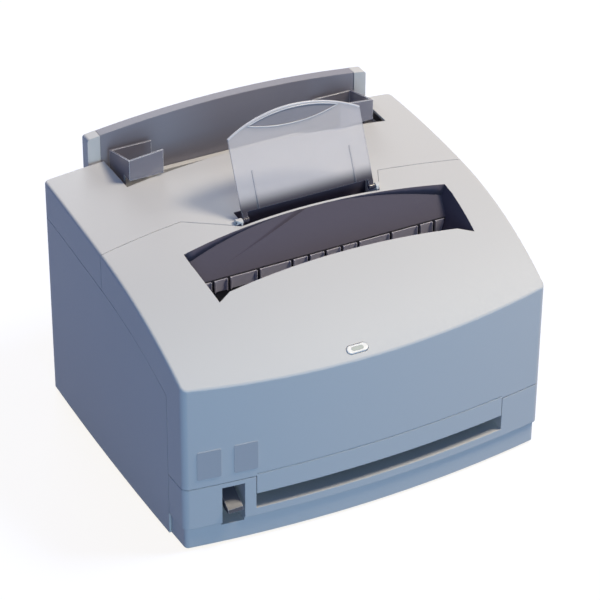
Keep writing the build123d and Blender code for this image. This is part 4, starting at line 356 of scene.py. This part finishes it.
def foil_outline(middle_x):
    """The outline of a plate with rounded corners, leant to the front wall's slope at its middle."""
    wall_y = FRONT_SIDE_Y - FRONT_BULGE * (1 - (middle_x / FRONT_HALF) ** 2) + FOIL_SUNK
    lean = 2 * FRONT_BULGE * middle_x / FRONT_HALF ** 2
    inner_x, low, high = FOIL_HALF - FOIL_CORNER, FOIL_LOW_Z + FOIL_CORNER, FOIL_HIGH_Z - FOIL_CORNER
    outline = []
    for quarter, (x, z) in enumerate(((inner_x, high), (-inner_x, high), (-inner_x, low), (inner_x, low))):
        for step in range(CORNER_STEPS + 1):
            angle = math.radians(90 * (quarter + step / CORNER_STEPS))
            off = x + FOIL_CORNER * math.cos(angle)
            outline.append((middle_x + off, wall_y + lean * off, z + FOIL_CORNER * math.sin(angle)))
    return outline


badge_foil = plastic("badge foil", (0.46, 0.46, 0.48), (0.43, 0.43, 0.45), rubbed_and_lit_tone=(0.70, 0.70, 0.72),
                     rubbing_and_sheen=0.7, rough=(0.28, 0.36), edge=0.0003)
for plate_name, plate_x in FOIL_MIDDLES_X.items():
    plate = closed_plate(foil_outline(plate_x), Vector((0, -FOIL_THICKNESS, 0)))
    soften(finish_piece(plate_name, plate, "front_cover", badge_foil), FOIL_SOFTENING)


# Side plates, lift plate, fuser channel and scanner lid
# Galvanised sheet steel, sheared, punched and bent, and screwed inside the casing. The zinc shows
# as a faint spangle.
def bumped(tree, height, depth):
    return add_node(tree, "ShaderNodeBump", {"Height": height, "Distance": depth})["Normal"]


def sheet_steel_finish():
    material, tree, shader = start_material("zinc-plated steel")
    place = object_place(tree)
    spangle = add_node(tree, "ShaderNodeTexVoronoi", {"Vector": place, "Scale": 160.0})["Color"]
    scratch = noise(tree, place, scale=420.0, detail=5.0)
    feed(tree, shader, {
        "Base Color": mixed(tree, spangle, (0.50, 0.51, 0.53), (0.66, 0.67, 0.69)),
        "Roughness": remapped(tree, scratch, low=0.28, high=0.46),
        "Metallic": 1.0,
        "Normal": bumped(tree, scratch, depth=0.00002)})
    return material


zinc_steel = sheet_steel_finish()
dress(zinc_steel, "left_frame", "right_frame", "lift_plate", "fuser_frame", "scanner_cover")


# Gear train
# Off-white gears moulded in self-lubricating acetal, on studs of the left side plate. The motor's
# pinion, the guides' pinion and the small pinch rollers are the same plastic.
gear_plastic = plastic("acetal", (0.74, 0.72, 0.66), (0.68, 0.66, 0.60), grain=900.0, rough=(0.30, 0.42),
                       edge=0.0003)
dress(gear_plastic, "feed_idler_gear", "pickup_idler_gear", "middle_a_gear", "middle_b_gear",
      "exit_idler_gear", "riser_a_gear", "riser_b_gear", "motor_pinion", "guide_pinion",
      "registration_pinch_rollers", "exit_pinch_rollers", "delivery_pinch_rollers")


# Rollers
# Ground steel shafts with a rubber or foam sleeve in the middle and an acetal gear pressed on the
# left end. The drum is a coated tube, and the fuser's film a thin brown sleeve.
SHAFT_TONE, SHAFT_ROUGH = (0.60, 0.61, 0.62), 0.22
ROLLER_GEAR_TONE, ROLLER_GEAR_ROUGH = (0.72, 0.70, 0.64), 0.38
SHAFT_MARGIN = 0.0002
PORES_PER_METRE, PORE_DEPTH = 2600.0, 0.00005
SLEEVE_SHADES = (0.8, 1.2)
ROLLERS = (
    ("pickup_roller", "pickup_roller_spin", 0.003, (0.055, 0.055, 0.06), 0.62),
    ("registration_roller", "registration_roller_spin", 0.003, (0.05, 0.05, 0.055), 0.60),
    ("transfer_roller", "transfer_roller_spin", 0.003, (0.07, 0.07, 0.075), 0.85),
    ("pressure_roller", "pressure_roller_spin", 0.004, (0.42, 0.16, 0.07), 0.60),
    ("exit_roller", "exit_roller_spin", 0.0025, (0.05, 0.05, 0.055), 0.62),
    ("delivery_roller", "delivery_roller_spin", 0.003, (0.05, 0.05, 0.055), 0.62),
    ("developer_roller", "developer_spin", 0.003, (0.10, 0.10, 0.11), 0.45),
    ("charge_roller", "charge_spin", 0.002, (0.06, 0.06, 0.06), 0.50),
    ("photo_drum", "drum_spin", 0.004, (0.03, 0.20, 0.26), 0.12),
    ("fuser_film", "fuser_film_spin", 0.0, (0.10, 0.07, 0.05), 0.30),
)


def maths(tree, operation, a, b):
    return add_node(tree, "ShaderNodeMath", {0: a, 1: b}, operation=operation)["Value"]


def build_zone_group():
    """Tells a roller's sleeve from its bare shaft and its gear, by the distance from the axis and by x."""
    group, given, result = start_group(
        "roller zones",
        (("Vector", "Vector", None), ("Axis", "Vector", None), ("Shaft radius", "Float", 0.003),
         ("Gear end x", "Float", -0.114)),
        (("Sleeve", "Float"), ("Gear", "Float")))
    off = add_node(group, "ShaderNodeVectorMath", {0: given["Vector"], 1: given["Axis"]},
                   operation="SUBTRACT")["Vector"]
    split = add_node(group, "ShaderNodeSeparateXYZ", {"Vector": off})
    side_view = add_node(group, "ShaderNodeCombineXYZ", {"Y": split["Y"], "Z": split["Z"]})["Vector"]
    reach = add_node(group, "ShaderNodeVectorMath", {0: side_view}, operation="LENGTH")["Value"]
    outside = maths(group, "GREATER_THAN", reach, given["Shaft radius"])
    gear = maths(group, "MULTIPLY", outside, maths(group, "LESS_THAN", split["X"], given["Gear end x"]))
    feed(group, result, {"Sleeve": maths(group, "SUBTRACT", outside, gear), "Gear": gear})
    return group


roller_zones = build_zone_group()


def roller_finish(name, axis, shaft_radius, sleeve_tone, sleeve_rough):
    """Steel shaft, coloured sleeve and acetal gear in one material, told apart by the zone group."""
    material, tree, shader = start_material(name)
    place = object_place(tree)
    values = {"Vector": place, "Axis": (0, *axis), "Shaft radius": shaft_radius + SHAFT_MARGIN}
    zones = add_node(tree, "ShaderNodeGroup", values, node_tree=roller_zones)
    pores = noise(tree, place, scale=PORES_PER_METRE, detail=4.0)
    sleeve = mixed(tree, pores, *([part * share for part in sleeve_tone] for share in SLEEVE_SHADES))
    tone = mixed(tree, zones["Sleeve"], SHAFT_TONE, sleeve)
    rough = mixed(tree, zones["Sleeve"], SHAFT_ROUGH, sleeve_rough, "FLOAT")
    covered = maths(tree, "ADD", zones["Sleeve"], zones["Gear"])
    feed(tree, shader, {
        "Base Color": mixed(tree, zones["Gear"], tone, ROLLER_GEAR_TONE),
        "Roughness": mixed(tree, zones["Gear"], rough, ROLLER_GEAR_ROUGH, "FLOAT"),
        "Metallic": maths(tree, "SUBTRACT", 1.0, covered),
        "Normal": bumped(tree, pores, PORE_DEPTH)})
    return material


def joint_axis(joint_name):
    """Where a roller's axis lies in side view, from its joint in the frame."""
    return next(joint["pos_m"][1:] for joint in frame["joints"] if joint["name"] == joint_name)


for node, joint, shaft, tone, rough in ROLLERS:
    dress(roller_finish(node.replace("_", " ") + " finish", joint_axis(joint), shaft, tone, rough), node)


# Inner mouldings
# The toner cartridge, sheet guides, fuser hood, scanner housing and motor are black glass-filled
# plastic, matt where the mould is grained, with rib edges painted lighter for rubbing and as a painted
# sheen. The separation pad is glued-on cork rubber, and the feeder's chute is the casing's own plastic.
inner_plastic = plastic("black inner plastic", (0.035, 0.035, 0.04), (0.05, 0.05, 0.052),
                        rubbed_and_lit_tone=(0.13, 0.13, 0.135), grain=1300.0, rough=(0.38, 0.55), rubbing_and_sheen=0.5)
dress(inner_plastic, "toner_cartridge", "feed_guide", "transport_guide", "fuser_cover", "fuser_heater",
      "delivery_guide", "scanner_housing", "main_motor")
pad_rubber = plastic("cork rubber", (0.20, 0.12, 0.07), (0.14, 0.08, 0.05), grain=700.0,
                     grain_depth=0.0001, rough=(0.75, 0.9))
dress(pad_rubber, "separation_pad")
dress(shell_plastic, "feeder_chute")


# Scanner optics
# An aluminised polygon mirror on its motor's spindle, with a long moulded lens and a folding mirror
# of float glass clipped down beside it.
def clear_material(name, tone, rough, ior, through=0.0, metallic=0.0):
    material, tree, shader = start_material(name)
    feed(tree, shader, {"Base Color": tone, "Roughness": rough, "IOR": ior,
                        "Transmission Weight": through, "Metallic": metallic})
    return material


optical_glass = clear_material("optical glass", (0.86, 0.92, 0.94), rough=0.04, ior=1.52, through=0.9)
mirror_coat = clear_material("mirror coat", (0.88, 0.89, 0.90), rough=0.06, ior=1.45, metallic=1.0)
dress(optical_glass, "scanner_optics")
dress(mirror_coat, "polygon_mirror")


# Circuit boards and sockets
# Green lacquered glass-fibre boards with etched copper tracks, screwed inside the casing. The two
# sockets in the back wall are moulded in black nylon.
def board_finish():
    material, tree, shader = start_material("lacquered board")
    tracks = add_node(tree, "ShaderNodeTexBrick", {
        "Vector": object_place(tree), "Scale": 110.0, "Mortar Size": 0.03,
        "Color1": (0.012, 0.10, 0.045), "Color2": (0.010, 0.085, 0.04), "Mortar": (0.03, 0.17, 0.08)})
    feed(tree, shader, {
        "Base Color": tracks["Color"],
        "Roughness": remapped(tree, tracks["Fac"], low=0.22, high=0.36)})
    return material


dress(board_finish(), "power_board", "control_board", "panel_board")
socket_plastic = plastic("black socket", (0.02, 0.02, 0.022), (0.03, 0.03, 0.032), rubbed_and_lit_tone=(0.09, 0.09, 0.09),
                         rough=(0.3, 0.42), edge=0.0004)
dress(socket_plastic, "mains_inlet", "data_port")


# Output flap and paper guides
# Smoky clear styrene, injection moulded: milky over its faces, with painted highlights along the rims
# of the guides and beads and painted dark lines along the flap's rims. The flap snaps onto two pivots
# and darkens at its foot with a painted reflection of the dark bin, and the guides run in slots
# of the paper support.
FLAP_PIVOT, FLAP_LEAN = Vector((0.0185, 0.00125, 0.2135)), math.radians(24.0)
FLAP_HALF, FLAP_SHOULDER, FLAP_TOP = 0.0635, 0.070, 0.086
# The darkening at the flap's foot, between the first two distances here, is a painted reflection of the
# dark bin.
FOOT_REFLECTION_START, FOOT_REFLECTION_END, HAZE_SHADE = 0.007, 0.023, 0.92
flap_up = Vector((0, math.sin(FLAP_LEAN), math.cos(FLAP_LEAN)))
flap_foot = FLAP_PIVOT.dot(flap_up)


def smoky_clear(name, tone, rim, body_alpha, painted_rim_alpha, edge, foot=None):
    """Foot gives the painted reflection at the pivots: its tone, alpha, direction, and where it starts and
    ends.
    """
    material, tree, shader = start_material(name)
    place = object_place(tree)
    haze = noise(tree, place, scale=30.0, detail=2.0)
    body = mixed(tree, haze, [part * HAZE_SHADE for part in tone], tone)
    # Painted reflection: the flap turns dark and more opaque towards its foot.
    if foot:
        foot_reflection_tone, foot_reflection_alpha, direction, low, high = foot
        along = add_node(tree, "ShaderNodeVectorMath", {0: place, 1: direction},
                         operation="DOT_PRODUCT")["Value"]
        clear = remapped(tree, along, 0.0, 1.0, start=low, end=high, curve="SMOOTHSTEP")
        body = mixed(tree, clear, foot_reflection_tone, body)
        body_alpha = remapped(tree, clear, foot_reflection_alpha, body_alpha)
    soft = soft_normal(tree, edge, samples=6)
    # Painted edge light: the rim tone, lighter or darker than the body, stands in for highlights and dark
    # lines.
    painted_rim_mask = edge_mask(tree, soft, flat=0.998, sharp=0.78, most=1.0)
    feed(tree, shader, {
        "Base Color": mixed(tree, painted_rim_mask, body, rim),
        "Alpha": remapped(tree, painted_rim_mask, body_alpha, painted_rim_alpha),
        "Normal": soft,
        "Roughness": 0.16,
        "IOR": 1.5})
    return material


# Painted reflection of the dark bin at the flap's foot: tone, alpha, direction and span.
flap_foot_reflection = ((0.035, 0.03, 0.05), 0.93, flap_up, flap_foot + FOOT_REFLECTION_START, flap_foot + FOOT_REFLECTION_END)
dress(smoky_clear("flap styrene", (0.82, 0.765, 0.76), (0.24, 0.23, 0.29), body_alpha=0.42, painted_rim_alpha=0.85,
                  edge=0.0007, foot=flap_foot_reflection), "output_flap")
dress(smoky_clear("guide styrene", (0.30, 0.28, 0.32), (0.85, 0.84, 0.86), body_alpha=0.66, painted_rim_alpha=0.97,
                  edge=0.0011), "left_paper_guide", "right_paper_guide")

TOP_BEAD_HALF, TOP_BEAD_RADIUS, TOP_BEAD_STEPS = 0.0632, 0.00115, 36
LENS_HALF, LENS_LOW, LENS_MIDDLE, LENS_HIGH = 0.0435, 0.071, 0.07724, 0.0842
LENS_BEAD_Y, LENS_BEAD_RADIUS, LENS_STEPS = -0.0009, 0.0006, 30
GRIP_SUNK, GRIP_THICKNESS = 0.0006, 0.00027


def on_flap(x, y, z):
    """A point given along the flap, from its pivot, y towards the back."""
    return FLAP_PIVOT + Vector((x, y * math.cos(FLAP_LEAN) + z * math.sin(FLAP_LEAN),
                                z * math.cos(FLAP_LEAN) - y * math.sin(FLAP_LEAN)))


def arc_height(x, half, low, high):
    """Height of a shallow arc from low at both ends, half away, to high in the middle."""
    sag = high - low
    radius = (half * half + sag * sag) / (2 * abs(sag))
    rise = math.sqrt(radius * radius - x * x) - (radius - abs(sag))
    return low + math.copysign(rise, sag)


def evenly(half, steps):
    """Places from minus half to half, with so many equal steps."""
    return [-half + 2 * half * step / steps for step in range(steps + 1)]


def bead(name, points, radius, closed, body, material):
    """A round bead along a run of points."""
    line = bpy.data.curves.new(name, "CURVE")
    line.dimensions = "3D"
    line.bevel_depth = radius
    line.bevel_resolution = 3
    run = line.splines.new("POLY")
    run.points.add(len(points) - 1)
    for knot, place in zip(run.points, points):
        knot.co = (*place, 1.0)
    run.use_cyclic_u = closed
    place_piece(name, line, body, material)


def lens_arc(places, middle_height):
    return [on_flap(x, LENS_BEAD_Y, arc_height(x, LENS_HALF, LENS_MIDDLE, middle_height)) for x in places]


bead_clear = smoky_clear("bead styrene", (0.74, 0.72, 0.74), (0.90, 0.89, 0.90), body_alpha=0.85,
                         painted_rim_alpha=0.98, edge=0.0003)
lens_frost = smoky_clear("frosted styrene", (0.33, 0.32, 0.36), (0.60, 0.59, 0.62), body_alpha=0.62,
                         painted_rim_alpha=0.9, edge=0.0003)
top_run = [on_flap(x, 0.0, arc_height(x, FLAP_HALF, FLAP_SHOULDER, FLAP_TOP))
           for x in evenly(TOP_BEAD_HALF, TOP_BEAD_STEPS)]
lens_places = evenly(LENS_HALF, LENS_STEPS)
lens_run = lens_arc(lens_places, LENS_HIGH) + lens_arc(lens_places[-2:0:-1], LENS_LOW)
bead("flap_top_bead", top_run, TOP_BEAD_RADIUS, False, "output_flap", bead_clear)
bead("flap_lens_bead", lens_run, LENS_BEAD_RADIUS, True, "output_flap", bead_clear)

flap_back = on_flap(0, 1.0, 0) - on_flap(0, 0, 0)
grip = closed_plate([place + GRIP_SUNK * flap_back for place in lens_run], GRIP_THICKNESS * flap_back)
finish_piece("flap_lens_frost", grip, "output_flap", lens_frost)


# Pull-up plate of the paper support
# A moulded grey plate, a shade darker than the casing, with the same grain. It slides up out of the
# paper support to carry longer sheets.
dress(plastic("support grey", (0.27, 0.26, 0.30), (0.25, 0.24, 0.28), rubbed_and_lit_tone=(0.55, 0.54, 0.58),
              rough=(0.5, 0.58)), "support_extension")


# Path selector lever
# A charcoal moulded lever with a shaft and blades that turn the sheet up or straight out. Its thumb
# piece stands in the recess at the front left. Its edges are painted pale as highlights for its lit lip.
# Pale painted highlights along the lever's edges.
dress(plastic("charcoal lever with painted highlights", (0.05, 0.05, 0.065), (0.07, 0.07, 0.085), rubbed_and_lit_tone=(0.60, 0.61, 0.66), rubbing_and_sheen=0.8,
              rough=(0.3, 0.42)), "selector_lever")


# Control button
# A pale oval push button moulded in ABS, guided by a hole in the front cover. A tinted acrylic lamp
# window is pressed into its middle.
dress(plastic("button grey", (0.58, 0.59, 0.61), (0.54, 0.55, 0.57), rubbed_and_lit_tone=(0.70, 0.70, 0.72),
              rough=(0.30, 0.40), edge=0.0004), "control_button")
dress(clear_material("lamp window", (0.40, 0.44, 0.41), rough=0.45, ior=1.49, through=0.1), "button_lens")


# Feet and screws
# Four moulded rubber feet under the floor pan, and zinc-plated pan-head screws that hold the back
# wall to it.
dress(plastic("foot rubber", (0.03, 0.03, 0.03), (0.045, 0.045, 0.045), grain=900.0, grain_depth=0.00006,
              rough=(0.7, 0.85)), "rubber_feet")
dress(zinc_steel, "casing_screws")


# Floor and backdrop
# A wide matt table top in a pale room. Both read white to the camera, and the table keeps the
# printer's shadow.
FLOOR_RADIUS = 6.0


def show_to_eye(tree):
    """1 for what the camera sees, directly, in a reflection or through glass, and 0 for other light."""
    path = add_node(tree, "ShaderNodeLightPath", {})
    reflected = maths(tree, "MAXIMUM", path["Is Camera Ray"], path["Is Glossy Ray"])
    return maths(tree, "MAXIMUM", reflected, path["Is Transmission Ray"])


def table_finish():
    material, tree, shader = start_material("pale table")
    feed(tree, shader, {"Base Color": (0.10, 0.15, 0.30), "Roughness": 0.9, "Specular IOR Level": 0.0,
                        "Emission Color": (0.93, 0.90, 0.82), "Emission Strength": show_to_eye(tree)})
    return material


def lay_floor():
    mesh = bpy.data.meshes.new("table top")
    form = bmesh.new()
    bmesh.ops.create_circle(form, cap_ends=True, segments=64, radius=FLOOR_RADIUS)
    form.to_mesh(mesh)
    form.free()
    mesh.materials.append(table_finish())
    floor = bpy.data.objects.new("table_top", mesh)
    bpy.context.scene.collection.objects.link(floor)


def light_room():
    """A weak blue room that the camera sees as white."""
    room = bpy.data.worlds.new("soft studio")
    bpy.context.scene.world = room
    room.use_nodes = True
    tree = room.node_tree
    tree.nodes.clear()
    dim = add_node(tree, "ShaderNodeBackground", {"Color": (0.26, 0.43, 1.0), "Strength": 0.25})
    seen = add_node(tree, "ShaderNodeBackground", {"Color": (1, 1, 1)})
    shown = add_node(tree, "ShaderNodeMixShader",
                     {"Fac": show_to_eye(tree), 1: dim["Background"], 2: seen["Background"]})
    add_node(tree, "ShaderNodeOutputWorld", {"Surface": shown["Shader"]})


lay_floor()
light_room()


# Studio lamps
# A broad warm key lamp high over the printer's right front corner and a cool fill for the front
# wall. A weak blue lamp lights the left side, and a pale one the back.
def softbox(name, at, towards, size, watts, tone):
    lamp = bpy.data.lights.new(name, "AREA")
    lamp.size = size
    lamp.energy = watts
    lamp.color = tone
    holder = bpy.data.objects.new(name, lamp)
    holder.location = at
    holder.rotation_euler = (Vector(towards) - Vector(at)).to_track_quat("-Z", "Y").to_euler()
    bpy.context.scene.collection.objects.link(holder)


softbox("key_lamp", (1.1, -0.5, 2.1), (0, 0, 0.15), size=0.6, watts=45.0, tone=(1.0, 0.90, 0.72))
softbox("front_fill", (-0.45, -2.3, 0.55), (0, 0, 0.1), size=1.0, watts=22.0, tone=(0.52, 0.79, 1.0))
softbox("left_fill", (-2.2, 0.3, 0.8), (0, 0, 0.1), size=1.0, watts=1.5, tone=(0.15, 0.35, 1.0))
softbox("back_fill", (0.5, 2.2, 0.9), (0, 0, 0.1), size=1.0, watts=22.0, tone=(0.88, 0.94, 1.0))


# Camera
# A long lens above and in front of the printer's front left corner. It looks down steeply, as in
# the photograph, with a very slight roll.
CAMERA_AT, LENS_MM, SENSOR_MM = (-0.9377, -1.78495, 1.4381), 165.32, 36.0
AZIMUTH, ELEVATION, ROLL = math.radians(-27.96), math.radians(33.17), math.radians(0.41)


def place_camera():
    back = Vector((math.sin(AZIMUTH) * math.cos(ELEVATION), -math.cos(AZIMUTH) * math.cos(ELEVATION),
                   math.sin(ELEVATION)))
    right = (-back).cross(Vector((0, 0, 1))).normalized()
    up = right.cross(-back)
    rolled_right = math.cos(ROLL) * right + math.sin(ROLL) * up
    rolled_up = math.cos(ROLL) * up - math.sin(ROLL) * right
    eye = bpy.data.cameras.new("photo_camera")
    eye.sensor_width, eye.lens = SENSOR_MM, LENS_MM
    camera = bpy.data.objects.new("photo_camera", eye)
    turn = Matrix((rolled_right, rolled_up, back)).transposed().to_4x4()
    camera.matrix_world = Matrix.Translation(CAMERA_AT) @ turn
    bpy.context.scene.collection.objects.link(camera)
    bpy.context.scene.camera = camera


place_camera()
bpy.context.scene.view_settings.view_transform = "Standard"
